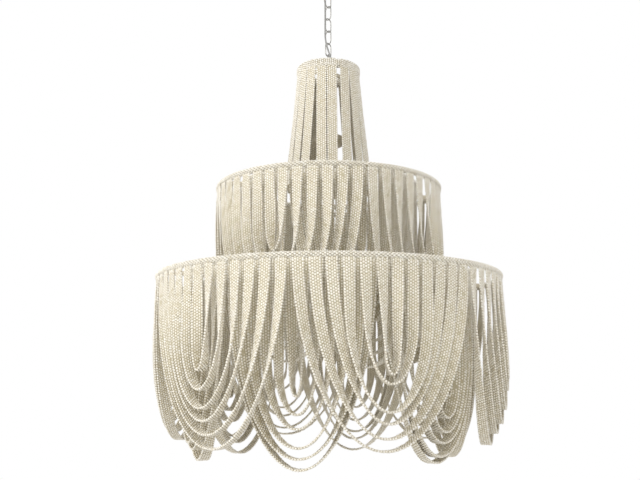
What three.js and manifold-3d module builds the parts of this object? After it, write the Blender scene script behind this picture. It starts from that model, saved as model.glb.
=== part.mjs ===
// Three-tier beaded chandelier, in millimetres, +Z up.
// The origin is the middle of the ceiling plate's top face, where the fixture meets the ceiling.
// Angles round the fixture are degrees from -Y (the front), positive towards +X (the right).
// Each tier is a steel hoop wrapped in beads, and flat bead bands hang from the wrap.

import * as THREE from "three";
import { mergeVertices } from "three/addons/utils/BufferGeometryUtils.js";
import Module from "manifold-3d";

const wasm = await Module();
wasm.setup();

// Driving dimensions

const lowerRadius = 457;            // outside of the lower tier's bead wrap
const lowerLayerInset = 15.8;       // inner wrap's outside, inside the flats of the outer bays
const middleRadius = 305;
const middleLayerOutset = 26.3;     // inner wrap's outside, beyond the flats of the outer bays
const upperRadius = 89;
const flareRadius = 120;            // hoop that the top tier's bands flare out to
const upperToMiddle = 346;          // between the hoops' planes
const middleToLower = 244;

const wrapSize = 17;                // height and depth of the bead wrap round a hoop
const upperWrapHeight = 28;         // the upper hoop's wrap reaches further down
const bandWidth = 27;               // five strands of beads side by side
const middleInnerBandWidth = 28;    // the inner layers' strands lie a little further apart
const lowerInnerBandWidth = 30;
const bandThickness = 5.5;          // one bead
const bandInset = 3;                // the wrap stands this proud of the bands below it
const hoopWire = 6;
const seatGap = 0.3;                // between pieces that touch
const wrapGap = 0.5;                // half the space between neighbouring wraps

const barThickness = 3;             // flat bars from the hubs to the hoops
const barHeight = 12;
const barClearance = 0.4;

const canopyRadius = 65;
const canopyDepth = 30;
const canopySheet = 1.2;
const plateRadius = 50;
const plateThickness = 3;
const plateScrewRadius = 2.6;
const bossRadius = 9;
const bossDepth = 12;
const threadRadius = 5;
const threadEngagement = 10;
const collarRadius = 12;
const collarHeight = 9;
const neckLength = 4;

const eyeOuterRadius = 14;          // loops above and below the chain
const eyeWire = 5;
const linkLength = 43;
const linkWidth = 24;
const linkWire = 3;
const eyeSeatGap = 0.5;             // the last link crosses the lower loop at 45 degrees
const linkCount = 5;
const chainTurn = 45;               // the links stand at 45 degrees to the front

const stemRadius = 6.5;
const hubRadius = 22;
const hubHeight = 24;
const flangeRadius = 11.5;
const flangeHeight = 4;
const topNeckLength = 6;

const canisterRadius = 45;          // wiring canister inside the top tier
const canisterHeight = 24;
const canisterRise = 131;           // its underside above the middle hoop's plane

const lampCount = 4;
const lampTurn = 60;
const lampRadius = 82;
const clusterRadius = 34;
const clusterHeight = 36;
const clusterTopDrop = 24;          // top of the cluster body below the lower hoop's plane
const lampArmWire = 9;
const lampArmBend = 22;
const lampArmTopRise = 22;          // top of each lamp arm above the lower hoop's plane
const socketRadius = 9;
const socketHeight = 46;
const socketWell = 30;
const sleeveRadius = 12;
const sleeveWall = 1.6;
const sleeveHeight = 85;
const bulbRadius = 17.5;
const bulbLength = 78;
const bulbCapRadius = 6.8;
const bulbCapLength = 26;
const bulbNeckRadius = 7.6;
const finialRadius = 11;
const finialHeight = 20;
const finialCollarHeight = 3;

const cordRadius = 2.2;
const glandRadius = 5;
const glandHeight = 7;
const glandTurn = 35;
const grommetDistance = 30;         // beside the chain, to the left
const grommetRadius = 5.5;
const grommetOverhang = 1.6;
const terminalWidth = 16;
const terminalDepth = 12;
const terminalHeight = 13;

// The cord's way from the grommet to the gland: distance from the chain, turn round it, and
// share of the way down.
const cordRouteShares = [
  [30, -90, 0.016], [29, -88, 0.049], [25.5, -82, 0.09], [21, -68, 0.135], [17.5, -49, 0.188],
  [15.8, -36, 0.253], [15.5, -34, 0.334], [15.5, -34, 0.424], [15.5, -34, 0.514],
  [15.5, -34, 0.603], [15.5, -33, 0.677], [15.6, -25, 0.742], [15.9, -14, 0.799],
  [16.3, -2, 0.848], [16.7, 10, 0.893], [17.1, 22, 0.934], [17.1, 32, 0.968],
];

// Swags: turn of each tier's first bay's middle, bays round the tier, and the drop of each
// nested loop below its hoop, innermost first.

const outerFirstTurn = 15;
const innerFirstTurn = -15;
const middleFirstTurn = -30;
const middleInnerFirstTurn = 15;
const lowerBays = 6;
const middleBays = 4;
const lowerDrop = 466;              // from the lower hoop to the lowest loops
const middleDrop = 466;
const outerDropShares = [0.539, 0.607, 0.719, 0.777, 0.843, 0.895];
const innerDropShares = [0.676, 0.758, 0.833, 0.897, 0.948, 1];
const middleDropShares = [0.457, 0.569, 0.697, 0.826, 0.923, 1];
const middleInnerDropShares = [0.498, 0.585, 0.645, 0.71, 0.777, 0.841];
const dropScatter = 7;              // hand-hung bands don't end in one line
const legTaper = 6;                 // the legs of a loop draw in this much towards its bottom
const bendAspect = 2.2;             // height of a loop's rounded end over its half width
const roundedShare = 0.75;          // a loop whose rounded end is higher than this is round all over
const twistPowerMean = 1.35;
const twistPowerScatter = 0.5;
const steadyTwistPower = 4;         // the inner middle bands turn only near their bottoms

const barTurns = [15, 105, 195, 285];         // bars of the middle and lower tiers
const upperBarTurns = [17, 137, 257];
const fringeGroups = 3;             // straight bands of the top tier, in groups between its bars
const fringeBandsPerGroup = 6;
const fringeFlarePower = 1.15;

// How far the top and the foot of each straight band stand aside from its regular place, in
// turns from one band to the next.
const fringeTopShares = [
  0.215, 0.165, 0.09, 0.02, -0.05, -0.05, -0.04, 0, -0.05, -0.087, -0.085, -0.074, 0.014, 0, 0, 0, 0, -0.041,
];
const fringeFootShares = [
  -0.109, -0.03, -0.2, -0.3, -0.3, 0.06, -0.26, 0.103, -0.199, -0.487, -0.36, -0.274, -0.182, 0.212,
  0.1, -0.035, 0.212, -0.071,
];

// Counts of faces

const hoopSteps = 36;
const smallHoopSteps = 24;
const bandHalfSteps = 4;
const bendStepsShort = 3;
const fringeSteps = 3;
const armBendSteps = 3;
const roundSides = 12;
const eyeSteps = 16;
const linkBendSteps = 6;
const fineSides = 18;
const lampSides = 8;
const cordSides = 6;
const cordSteps = 30;

// Profiles, as shares of a piece's own radius or height

const canopySideShare = 0.35;
const canopyShoulderShare = 0.72;
const canopyKneeShare = 0.85;
const canopyFaceShare = 0.3;
const collarStepShare = 0.7;
const collarNoseShare = 0.75;
const canisterEndShare = 0.85;
const clusterFootShare = 0.8;
const clusterWaistShares = [0.3, 0.8];
const clusterTopShare = 0.7;
const finialRadiusShares = [0.8, 0.6];
const finialHeightShares = [0.25, 0.6, 0.7];
const glandStepShare = 0.6;
const bulbRadiusShares = [0.82, 0.35];
const bulbHeightShares = [0.56, 0.8, 0.98, 1.2, 1.3];

// Derived sizes

const flatShare = (bays) => Math.cos(Math.PI / bays);       // a bay's flat over its hoop's radius
const lowerInnerRadius = lowerRadius * flatShare(lowerBays) - lowerLayerInset;
const middleInnerRadius = middleRadius * flatShare(middleBays) + middleLayerOutset;
const socketBore = (bulbCapRadius + seatGap) / Math.cos(Math.PI / lampSides);

// Derived heights

const eyeBottom = -(canopyDepth + collarHeight + seatGap + neckLength + 2 * eyeOuterRadius);
const firstLinkTop = eyeBottom + eyeWire + seatGap + linkWire;
const linkPitch = linkLength - 2 * linkWire - seatGap;
const lastLinkBottom = firstLinkTop - (linkCount - 1) * linkPitch - linkLength;
const topEyeTop = lastLinkBottom + linkWire + eyeSeatGap + eyeWire;
const topEyeCentre = topEyeTop - eyeOuterRadius;
const upperPlane = topEyeTop - 2 * eyeOuterRadius - topNeckLength - flangeHeight - seatGap - hubHeight / 2;
const middlePlane = upperPlane - upperToMiddle;
const lowerPlane = middlePlane - middleToLower;
const stackRise = barHeight / 2 + seatGap + hoopWire / 2;   // a hoop that lies on the bars
const lowerInnerPlane = lowerPlane + stackRise;
const flarePlane = middlePlane + stackRise;
const middleInnerPlane = middlePlane + stackRise;

// Materials

const paint = (hex, roughness, metalness) =>
  new THREE.MeshStandardMaterial({ color: hex, roughness, metalness });
const beadFinish = paint(0xe9e1cf, 0.75, 0);
const nickelFinish = paint(0xb9b8b4, 0.3, 1);
const frameFinish = paint(0xcfc6b2, 0.55, 0.2);
const sleeveFinish = paint(0xf2ebd9, 0.6, 0);
const glassFinish = paint(0xf4f4ee, 0.1, 0);
const capFinish = paint(0x2b2a28, 0.5, 0);
const cordFinish = paint(0xd8d8d4, 0.4, 0);

// Solids

const radians = THREE.MathUtils.degToRad;

function solidOf(geometry) {
  const plain = geometry.index ? geometry.clone() : geometry;
  plain.deleteAttribute("normal");
  plain.deleteAttribute("uv");
  const merged = mergeVertices(plain, seatGap / 1000);
  const position = merged.attributes.position;
  const points = Array.from({ length: position.count }, (_, i) =>
    new THREE.Vector3().fromBufferAttribute(position, i));
  const faces = Array.from(merged.index.array);
  if (signedVolume(points, faces) < 0) faces.reverse();
  return new wasm.Manifold(new wasm.Mesh({
    numProp: 3,
    vertProperties: new Float32Array(position.array),
    triVerts: new Uint32Array(faces),
  }));
}

function geometryOf(solid) {
  const data = solid.getMesh();
  const geometry = new THREE.BufferGeometry();
  geometry.setAttribute("position", new THREE.BufferAttribute(data.vertProperties, 3));
  geometry.setIndex(new THREE.BufferAttribute(data.triVerts, 1));
  geometry.computeVertexNormals();
  return geometry;
}

const model = new THREE.Group();

function addMesh(name, geometry, material) {
  const mesh = new THREE.Mesh(geometry, material);
  mesh.name = name;
  model.add(mesh);
  return mesh;
}

function signedVolume(points, faces) {
  let total = 0;
  for (let i = 0; i < faces.length; i += 3) {
    const [a, b, c] = [points[faces[i]], points[faces[i + 1]], points[faces[i + 2]]];
    total += a.dot(new THREE.Vector3().crossVectors(b, c)) / 6;
  }
  return total;
}

// A convex outline carried along stations, each { at, across, deep }. A ring joins its ends.
// Opposite sides are split along the same diagonal, so a twisted band keeps its thickness.
function sweep(stations, outline, ring = false) {
  const sides = outline.length;
  const points = [];
  for (const { at, across, deep } of stations) {
    for (const [a, b] of outline) {
      points.push(at.clone().addScaledVector(across, a).addScaledVector(deep, b));
    }
  }
  const faces = [];
  const spans = ring ? stations.length : stations.length - 1;
  for (let i = 0; i < spans; i += 1) {
    const here = i * sides;
    const next = ((i + 1) % stations.length) * sides;
    for (let k = 0; k < sides; k += 1) {
      const m = (k + 1) % sides;
      if (k < sides / 2) faces.push(here + k, here + m, next + m, here + k, next + m, next + k);
      else faces.push(here + k, here + m, next + k, here + m, next + m, next + k);
    }
  }
  if (!ring) {
    const last = (stations.length - 1) * sides;
    for (let k = 1; k < sides - 1; k += 1) {
      faces.push(0, k + 1, k, last, last + k, last + k + 1);
    }
  }
  if (signedVolume(points, faces) < 0) faces.reverse();
  const geometry = new THREE.BufferGeometry().setFromPoints(points);
  geometry.setIndex(faces);
  return geometry;
}

const rectangle = (width, height) => [
  [-width / 2, -height / 2], [width / 2, -height / 2], [width / 2, height / 2], [-width / 2, height / 2],
];
const polygon = (radius, sides, turn = 0) => Array.from({ length: sides }, (_, k) => {
  const angle = turn + (2 * Math.PI * k) / sides;
  return [radius * Math.cos(angle), radius * Math.sin(angle)];
});

function lathe(profile, sides) {
  const geometry = new THREE.LatheGeometry(profile.map(([r, z]) => new THREE.Vector2(r, z)), sides);
  geometry.rotateX(Math.PI / 2);
  return geometryOf(solidOf(geometry));
}

// Places round the fixture. The bays at the front are a little narrower than those at the back.

// The bands leave the underside of a wrap this far below its hoop's plane.
const wrapWall = (wrapSize - hoopWire) / 2 - seatGap;
const bandTopDrop = wrapSize / 2 - (wrapWall * 2) / 3;

const layoutTurn = 3.2;
const layoutNarrowing = 3.7;
const layoutAngle = (turn) => layoutTurn + turn - layoutNarrowing * Math.sin(radians(turn));
const fringeShift = 5;
const fringeAngle = (turn) => turn + (fringeShift * (1 - Math.cos(radians(turn)))) / 2;

const outward = (angle) => new THREE.Vector3(Math.sin(radians(angle)), -Math.cos(radians(angle)), 0);
const sideways = (angle) => new THREE.Vector3(Math.cos(radians(angle)), Math.sin(radians(angle)), 0);
const up = new THREE.Vector3(0, 0, 1);
const onCircle = (radius, angle, z) => outward(angle).multiplyScalar(radius).setZ(z);

function arcStations(radius, z, angles) {
  return angles.map((angle) => ({ at: onCircle(radius, angle, z), across: outward(angle), deep: up }));
}

function ringAngles(place, steps) {
  return Array.from({ length: steps }, (_, k) => place((360 * k) / steps));
}

const straightAngle = (turn) => turn;

// A hoop is straight between its steps, so its wire lies a little inside its circle there.
function hoopRadiusAt(radius, place, stepTurn, stepIndex, angle) {
  const a = radians(place(stepIndex * stepTurn));
  const b = radians(place((stepIndex + 1) * stepTurn));
  return (radius * Math.cos((b - a) / 2)) / Math.cos(radians(angle) - (a + b) / 2);
}

function addHoop(name, outsideRadius, z, place, steps) {
  const radius = outsideRadius - wrapSize / 2;
  const stations = arcStations(radius, z, ringAngles(place, steps));
  addMesh(name, sweep(stations, polygon(hoopWire / 2, 6, Math.PI / 6), true), frameFinish);
}

// Bead bands

// A number between -1 and 1 that looks random and is the same each time.
function scatter(seed) {
  const value = Math.sin(seed * 12.9898) * 43758.5453;
  return 2 * (value - Math.floor(value)) - 1;
}

// One loop hanging from two places on a circle. It hangs in the upright plane through both,
// with straight legs and a rounded bottom. The band lies flat on the hoop at its ends and
// twists along each leg until it lies flat across the bottom.
function swagStations(radius, z, angleA, angleB, drop, twistPower) {
  const endA = onCircle(radius, angleA, z);
  const endB = onCircle(radius, angleB, z);
  const along = endB.clone().sub(endA);
  const halfSpan = along.length() / 2;
  along.normalize();
  const middle = endA.clone().add(endB).multiplyScalar(0.5);
  const out = new THREE.Vector3(along.y, -along.x, 0);
  const tilt = Math.asin(halfSpan / radius);
  const roundHeight = bendAspect * halfSpan;
  const hasLegs = roundHeight < drop * roundedShare;
  const bendHeight = hasLegs ? roundHeight : drop;
  const bendSteps = hasLegs ? bendStepsShort : bandHalfSteps;
  const legSteps = bandHalfSteps - bendSteps;
  const heights = [];
  for (let i = 0; i <= bendSteps; i += 1) {
    heights.push(bendHeight * (1 - Math.cos((Math.PI / 2) * (i / bendSteps))));
  }
  for (let i = 1; i <= legSteps; i += 1) {
    heights.push(bendHeight + (drop - bendHeight) * (i / legSteps));
  }
  const sideAt = (height) => {
    const low = 1 - Math.min(height, bendHeight) / bendHeight;
    return (halfSpan - legTaper * (1 - height / drop)) * Math.sqrt(1 - low * low);
  };
  const step = drop / 1000;
  const stationAt = (height, side) => {
    const at = middle.clone().addScaledVector(along, side * sideAt(height)).setZ(z - drop + height);
    const lower = Math.max(height - step, 0);
    const upper = Math.min(height + step, drop);
    const rise = upper - lower;
    const run = sideAt(upper) - sideAt(lower);
    const tangent = height === 0
      ? along.clone()
      : along.clone().multiplyScalar(run).addScaledVector(up, side * rise).normalize();
    const inward = new THREE.Vector3().crossVectors(tangent, out).negate();
    const twist = -tilt + (Math.PI / 2 + tilt) * Math.max(1 - height / drop, 0) ** twistPower;
    const across = inward.clone().multiplyScalar(Math.cos(twist)).addScaledVector(out, -Math.sin(twist));
    const deep = inward.clone().multiplyScalar(Math.sin(twist)).addScaledVector(out, Math.cos(twist));
    return { at, across, deep };
  };
  const stations = [];
  for (let i = heights.length - 1; i > 0; i -= 1) stations.push(stationAt(heights[i], -1));
  stations.push(stationAt(0, 1));
  for (let i = 1; i < heights.length; i += 1) stations.push(stationAt(heights[i], 1));
  return stations;
}

// The wrap round one stretch of hoop, a square tube between two turns. It can reach further
// below the hoop than above it.
function wrapSolid(outsideRadius, z, place, fromTurn, toTurn, stepTurn, height = wrapSize) {
  const radius = outsideRadius - wrapSize / 2;
  const gapAngle = (180 / Math.PI) * (wrapGap / radius);
  const angles = [place(fromTurn) + gapAngle];
  const firstStep = Math.floor(fromTurn / stepTurn) + 1;
  for (let k = firstStep; k * stepTurn < toTurn; k += 1) angles.push(place(k * stepTurn));
  angles.push(place(toTurn) - gapAngle);
  const chords = angles.map((angle, i) => {
    const at = onHoopChord(radius, z, place, stepTurn, i, angles, fromTurn, toTurn);
    return { at, across: outward(angle), deep: up };
  });
  const bore = hoopWire + 2 * seatGap;
  const outline = rectangle(wrapSize, height).map(([a, b]) => [a, b - (height - wrapSize) / 2]);
  const outer = solidOf(sweep(chords, outline));
  const longer = [extended(chords[0], chords[1]), ...chords.slice(1, -1),
    extended(chords[chords.length - 1], chords[chords.length - 2])];
  return outer.subtract(solidOf(sweep(longer, rectangle(bore, bore))));
}

// The ends of a wrap lie on the straights of its hoop.
function onHoopChord(radius, z, place, stepTurn, index, angles, fromTurn, toTurn) {
  const atEnd = index === 0 || index === angles.length - 1;
  if (!atEnd) return onCircle(radius, angles[index], z);
  const step = index === 0 ? Math.floor(fromTurn / stepTurn) : Math.ceil(toTurn / stepTurn) - 1;
  return onCircle(hoopRadiusAt(radius, place, stepTurn, step, angles[index]), angles[index], z);
}

function extended(end, inner) {
  const push = end.at.clone().sub(inner.at).normalize().multiplyScalar(wrapSize / 4);
  return { ...end, at: end.at.clone().add(push) };
}

// Flat bars from a hub to a hoop, and the room that the wraps leave for them.

function barSolid(fromRadius, toRadius, angle, z, extra) {
  const thickness = barThickness + 2 * extra;
  const height = barHeight + 2 * extra;
  const box = new THREE.BoxGeometry(thickness, toRadius - fromRadius + extra, height);
  box.translate(0, -(fromRadius + toRadius + extra) / 2, 0);
  box.rotateZ(radians(angle));
  box.translate(0, 0, z);
  return solidOf(box);
}

// The loops of one bay, joined to the solid that carries them.
function withLoops(carrier, outsideRadius, z, middleTurn, endTurn, drops, width, twistPower, seed) {
  const bandRadius = outsideRadius - bandInset - bandThickness / 2;
  let solid = carrier;
  for (let i = 0; i < drops.length; i += 1) {
    const offset = (i + 0.5) * endTurn;
    const drop = drops[i] + dropScatter * scatter(seed + i);
    const power = twistPower + twistPowerScatter * scatter(seed + i + drops.length);
    const stations = swagStations(bandRadius, z - bandTopDrop, layoutAngle(middleTurn - offset),
      layoutAngle(middleTurn + offset), drop - bandTopDrop, power);
    solid = solid.add(solidOf(sweep(stations, rectangle(width, bandThickness))));
  }
  return solid;
}

// A tier's bays, one or more to a node. Each node has its stretch of wrap, with room for the bars.
function swagTier(prefix, { outsideRadius, z, firstTurn, bays, drops, bars, steps, baysPerNode, width,
  twistPower }) {
  const endTurn = 180 / (bays * drops.length);
  const half = drops.length * endTurn;
  for (let node = 0; node < bays / baysPerNode; node += 1) {
    const turns = Array.from({ length: baysPerNode }, (_, k) =>
      firstTurn + (360 * (node * baysPerNode + k)) / bays);
    let solid = wrapSolid(outsideRadius, z, layoutAngle, turns[0] - half, turns[baysPerNode - 1] + half,
      360 / steps);
    turns.forEach((middleTurn, k) => {
      const seed = outsideRadius / lowerRadius + (node * baysPerNode + k) * drops.length * 2;
      solid = withLoops(solid, outsideRadius, z, middleTurn, endTurn, drops, width, twistPower, seed);
    });
    for (const bar of bars) solid = solid.subtract(bar);
    addMesh(`${prefix}_${node + 1}`, geometryOf(solid), beadFinish);
  }
}

// Top tier: straight bands from the upper hoop down to the flare hoop.

const fringeTurn = 360 / (fringeGroups * fringeBandsPerGroup);

function fringeNode(group) {
  const fromTurn = upperBarTurns[0] + (360 * group) / fringeGroups;
  const toTurn = fromTurn + 360 / fringeGroups;
  const stepTurn = 360 / smallHoopSteps;
  const bars = upperBarTurns.map((turn) =>
    barSolid(hubRadius, upperRadius - wrapSize / 2, fringeAngle(turn), upperPlane, barClearance));
  let solid = wrapSolid(upperRadius, upperPlane, fringeAngle, fromTurn, toTurn, stepTurn, upperWrapHeight);
  const topRadius = upperRadius - bandInset - bandThickness / 2;
  const footRadius = flareRadius - wrapSize / 2 + hoopWire / 2 + seatGap + bandThickness / 2;
  const footHeight = flarePlane - hoopWire / 2 + seatGap;
  for (let i = 0; i < fringeBandsPerGroup; i += 1) {
    const band = group * fringeBandsPerGroup + i;
    const regular = fringeAngle(fromTurn + (i + 0.5) * fringeTurn);
    const topAngle = regular + fringeTurn * fringeTopShares[band];
    const footAngle = regular + fringeTurn * fringeFootShares[band];
    const stations = [];
    for (let k = 0; k <= fringeSteps; k += 1) {
      const share = k / fringeSteps;
      const angle = THREE.MathUtils.lerp(topAngle, footAngle, share);
      const radius = THREE.MathUtils.lerp(topRadius, footRadius, share ** fringeFlarePower);
      const z = THREE.MathUtils.lerp(upperPlane - bandTopDrop, footHeight, share);
      stations.push({ at: onCircle(radius, angle, z), across: sideways(angle), deep: outward(angle) });
    }
    solid = solid.add(solidOf(sweep(stations, rectangle(bandWidth, bandThickness))));
  }
  for (const bar of bars) solid = solid.subtract(bar);
  addMesh(`upper_fringe_${group + 1}`, geometryOf(solid), beadFinish);
}

// Ceiling end

function eyeGeometry(neck, thread) {
  const radius = eyeOuterRadius - eyeWire / 2;
  const stations = Array.from({ length: eyeSteps }, (_, k) => {
    const angle = (2 * Math.PI * k) / eyeSteps;
    const arm = new THREE.Vector3(0, Math.sin(angle), Math.cos(angle));
    return { at: arm.clone().multiplyScalar(radius), across: arm, deep: new THREE.Vector3(1, 0, 0) };
  });
  const ring = solidOf(sweep(stations, polygon(eyeWire / 2, 8, Math.PI / 8), true));
  const overlap = eyeWire / 2;
  const shaft = new THREE.CylinderGeometry(threadRadius, threadRadius, neck + thread + overlap, roundSides);
  shaft.rotateX(Math.PI / 2);
  shaft.translate(0, 0, eyeOuterRadius - overlap + (neck + thread + overlap) / 2);
  return { ring, shaft: solidOf(shaft) };
}

function addCeilingPieces() {
  const boss = new THREE.CylinderGeometry(bossRadius, bossRadius, bossDepth + plateThickness / 2, roundSides);
  boss.rotateX(Math.PI / 2);
  boss.translate(0, 0, -plateThickness / 2 - (bossDepth + plateThickness / 2) / 2);
  const plate = new THREE.CylinderGeometry(plateRadius, plateRadius, plateThickness, fineSides);
  plate.rotateX(Math.PI / 2);
  plate.translate(0, 0, -plateThickness / 2);
  const boreRadius = threadRadius + seatGap;
  const bore = new THREE.CylinderGeometry(boreRadius, boreRadius, 2 * bossDepth, roundSides);
  bore.rotateX(Math.PI / 2);
  bore.translate(0, 0, -plateThickness - bossDepth - seatGap);
  let plateSolid = solidOf(plate).add(solidOf(boss)).subtract(solidOf(bore));
  for (const side of [-1, 1]) {
    const hole = new THREE.CylinderGeometry(plateScrewRadius, plateScrewRadius, 3 * plateThickness, 8);
    hole.rotateX(Math.PI / 2);
    hole.translate(0, (side * plateRadius * 3) / 4, 0);
    plateSolid = plateSolid.subtract(solidOf(hole));
  }
  addMesh("ceiling_plate", geometryOf(plateSolid), nickelFinish);

  const rimRadius = canopyRadius;
  const holeRadius = threadRadius + seatGap;
  const shoulder = canopyRadius * canopyShoulderShare;
  const face = shoulder - canopyDepth * canopyFaceShare;
  const side = -canopyDepth * canopySideShare;
  const knee = -canopyDepth * canopyKneeShare;
  const canopy = lathe([
    [rimRadius - canopySheet, 0], [rimRadius, 0], [rimRadius, side], [shoulder + canopySheet, knee],
    [face, -canopyDepth], [holeRadius, -canopyDepth], [holeRadius, -canopyDepth + canopySheet],
    [face, -canopyDepth + canopySheet], [shoulder, knee + canopySheet], [rimRadius - canopySheet, side],
    [rimRadius - canopySheet, 0],
  ], fineSides);
  const cordHole = new THREE.CylinderGeometry(grommetBore(), grommetBore(), canopyDepth, roundSides);
  cordHole.rotateX(Math.PI / 2);
  cordHole.translate(grommetPlace.x, grommetPlace.y, -canopyDepth);
  addMesh("canopy", geometryOf(solidOf(canopy).subtract(solidOf(cordHole))), nickelFinish);

  const eye = eyeGeometry(neckLength + collarHeight + seatGap + canopyDepth - plateThickness
    - bossDepth, threadEngagement);
  const loop = geometryOf(eye.ring.add(eye.shaft));
  loop.rotateZ(radians(chainTurn));
  loop.translate(0, 0, eyeBottom + eyeOuterRadius);
  addMesh("canopy_loop", loop, nickelFinish);

  const collarTop = -canopyDepth - seatGap;
  const collarBore = threadRadius + seatGap;
  addMesh("collar_ring", lathe([
    [collarBore, collarTop], [collarRadius, collarTop],
    [collarRadius, collarTop - collarHeight * collarStepShare],
    [collarRadius * collarNoseShare, collarTop - collarHeight], [collarBore, collarTop - collarHeight],
    [collarBore, collarTop],
  ], roundSides), nickelFinish);

  const neckRadius = grommetRadius - grommetOverhang;
  const outside = -canopyDepth;
  const inside = -canopyDepth + canopySheet;
  const passage = cordRadius + seatGap;
  const grommet = lathe([
    [passage, outside - grommetOverhang], [grommetRadius, outside - grommetOverhang],
    [grommetRadius, outside - seatGap], [neckRadius, outside - seatGap], [neckRadius, inside + seatGap],
    [grommetRadius, inside + seatGap], [grommetRadius, inside + grommetOverhang],
    [passage, inside + grommetOverhang], [passage, outside - grommetOverhang],
  ], roundSides);
  grommet.translate(grommetPlace.x, grommetPlace.y, 0);
  addMesh("cord_grommet", grommet, capFinish);

  const terminal = new THREE.BoxGeometry(terminalWidth, terminalDepth, terminalHeight);
  terminal.translate(grommetPlace.x, grommetPlace.y, -plateThickness - seatGap - terminalHeight / 2);
  addMesh("terminal_block", terminal, sleeveFinish);
}

const grommetPlace = new THREE.Vector3(-grommetDistance, 0, 0);
const grommetBore = () => grommetRadius - grommetOverhang + seatGap;

// Chain

function linkGeometry() {
  const wireRadius = linkWire / 2;
  const bend = (linkWidth - linkWire) / 2;
  const straight = linkLength / 2 - wireRadius - bend;
  const stations = [];
  for (const side of [1, -1]) {
    for (let k = 0; k <= linkBendSteps; k += 1) {
      const angle = (Math.PI * k) / linkBendSteps;
      const arm = new THREE.Vector3(side * Math.cos(angle), 0, side * Math.sin(angle));
      const at = arm.clone().multiplyScalar(bend).addScaledVector(up, side * straight);
      stations.push({ at, across: arm, deep: new THREE.Vector3(0, 1, 0) });
    }
  }
  return sweep(stations, polygon(wireRadius, 6, Math.PI / 6), true);
}

function addChain() {
  for (let i = 0; i < linkCount; i += 1) {
    const link = linkGeometry();
    link.rotateZ(radians(chainTurn + (i % 2) * 90));
    link.translate(0, 0, firstLinkTop - i * linkPitch - linkLength / 2);
    addMesh(`chain_link_${i + 1}`, link, nickelFinish);
  }
}

// Frame

function addHub(name, z, height, bars) {
  const bore = stemRadius + seatGap;
  let solid = solidOf(lathe([
    [bore, z - height / 2], [hubRadius, z - height / 2], [hubRadius, z + height / 2],
    [bore, z + height / 2], [bore, z - height / 2],
  ], fineSides));
  for (const bar of bars) solid = solid.add(bar);
  addMesh(name, geometryOf(solid), frameFinish);
}

function barsTo(outsideRadius, steps, place, turns, z) {
  const stepTurn = 360 / steps;
  const wireHalf = (hoopWire / 2) * Math.cos(Math.PI / 6);
  return turns.map((turn) => {
    const angle = place(turn);
    const hoop = hoopRadiusAt(outsideRadius - wrapSize / 2, place, stepTurn, Math.floor(turn / stepTurn), angle);
    return barSolid(hubRadius - barThickness, hoop - wireHalf - seatGap, angle, z, 0);
  });
}

function addFrame() {
  addHoop("upper_hoop", upperRadius, upperPlane, fringeAngle, smallHoopSteps);
  addHoop("flare_hoop", flareRadius, flarePlane, straightAngle, smallHoopSteps);
  addHoop("middle_hoop", middleRadius, middlePlane, layoutAngle, hoopSteps);
  addHoop("middle_inner_hoop", middleInnerRadius, middleInnerPlane, layoutAngle, smallHoopSteps);
  addHoop("lower_hoop", lowerRadius, lowerPlane, layoutAngle, hoopSteps);
  addHoop("lower_inner_hoop", lowerInnerRadius, lowerInnerPlane, layoutAngle, hoopSteps);
  addHub("upper_spider", upperPlane, hubHeight,
    barsTo(upperRadius, smallHoopSteps, fringeAngle, upperBarTurns, upperPlane));
  addHub("middle_spider", middlePlane, hubHeight,
    barsTo(middleRadius, hoopSteps, layoutAngle, barTurns, middlePlane));
  addHub("lower_spider", lowerPlane, hubHeight,
    barsTo(lowerRadius, hoopSteps, layoutAngle, barTurns, lowerPlane));
}

const stemTop = upperPlane + hubHeight / 2;
const clusterTop = lowerPlane - clusterTopDrop;
const clusterBottom = clusterTop - clusterHeight;
const stemBottom = clusterBottom - threadEngagement;

function addStemPieces() {
  const stemBore = threadRadius + seatGap;
  addMesh("stem", lathe([
    [stemBore, stemBottom], [stemRadius, stemBottom], [stemRadius, stemTop], [stemBore, stemTop],
    [stemBore, stemBottom],
  ], roundSides), nickelFinish);

  const eye = eyeGeometry(topNeckLength + flangeHeight, threadEngagement);
  const flange = new THREE.CylinderGeometry(flangeRadius, flangeRadius, flangeHeight, roundSides);
  flange.rotateX(Math.PI / 2);
  flange.translate(0, 0, eyeOuterRadius + topNeckLength + flangeHeight / 2);
  const loop = geometryOf(eye.ring.add(eye.shaft).add(solidOf(flange)));
  loop.rotateX(Math.PI);
  loop.translate(0, 0, topEyeCentre);
  addMesh("top_loop", loop, nickelFinish);

  const canisterBase = middlePlane + canisterRise;
  const canisterTop = canisterBase + canisterHeight;
  const bore = stemRadius + seatGap;
  addMesh("wiring_canister", lathe([
    [bore, canisterBase], [canisterRadius * canisterEndShare, canisterBase],
    [canisterRadius, canisterBase + 4 * canopySheet], [canisterRadius, canisterTop - 4 * canopySheet],
    [canisterRadius * canisterEndShare, canisterTop], [bore, canisterTop], [bore, canisterBase],
  ], fineSides), frameFinish);

  const [waistRadius, tipRadius] = finialRadiusShares.map((part) => part * finialRadius);
  const [waist, nose, tip] = finialHeightShares.map((part) => stemBottom - part * finialHeight);
  const seat = clusterBottom - seatGap;
  addMesh("finial", lathe([
    [0, tip], [tipRadius, nose], [waistRadius, waist], [finialRadius, seat - finialCollarHeight],
    [finialRadius, seat], [bore, seat], [bore, stemBottom - seatGap], [0, stemBottom - seatGap],
  ], roundSides), nickelFinish);

  const gland = lathe([
    [0, 0], [glandRadius, 0], [glandRadius, glandHeight * glandStepShare],
    [cordRadius + canopySheet, glandHeight], [0, glandHeight],
  ], roundSides);
  gland.translate(glandPlace.x, glandPlace.y, stemTop + seatGap);
  addMesh("cord_gland", gland, capFinish);
}

const glandPlace = onCircle(flangeRadius + glandRadius + seatGap, glandTurn, 0);

// Lamps

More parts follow.
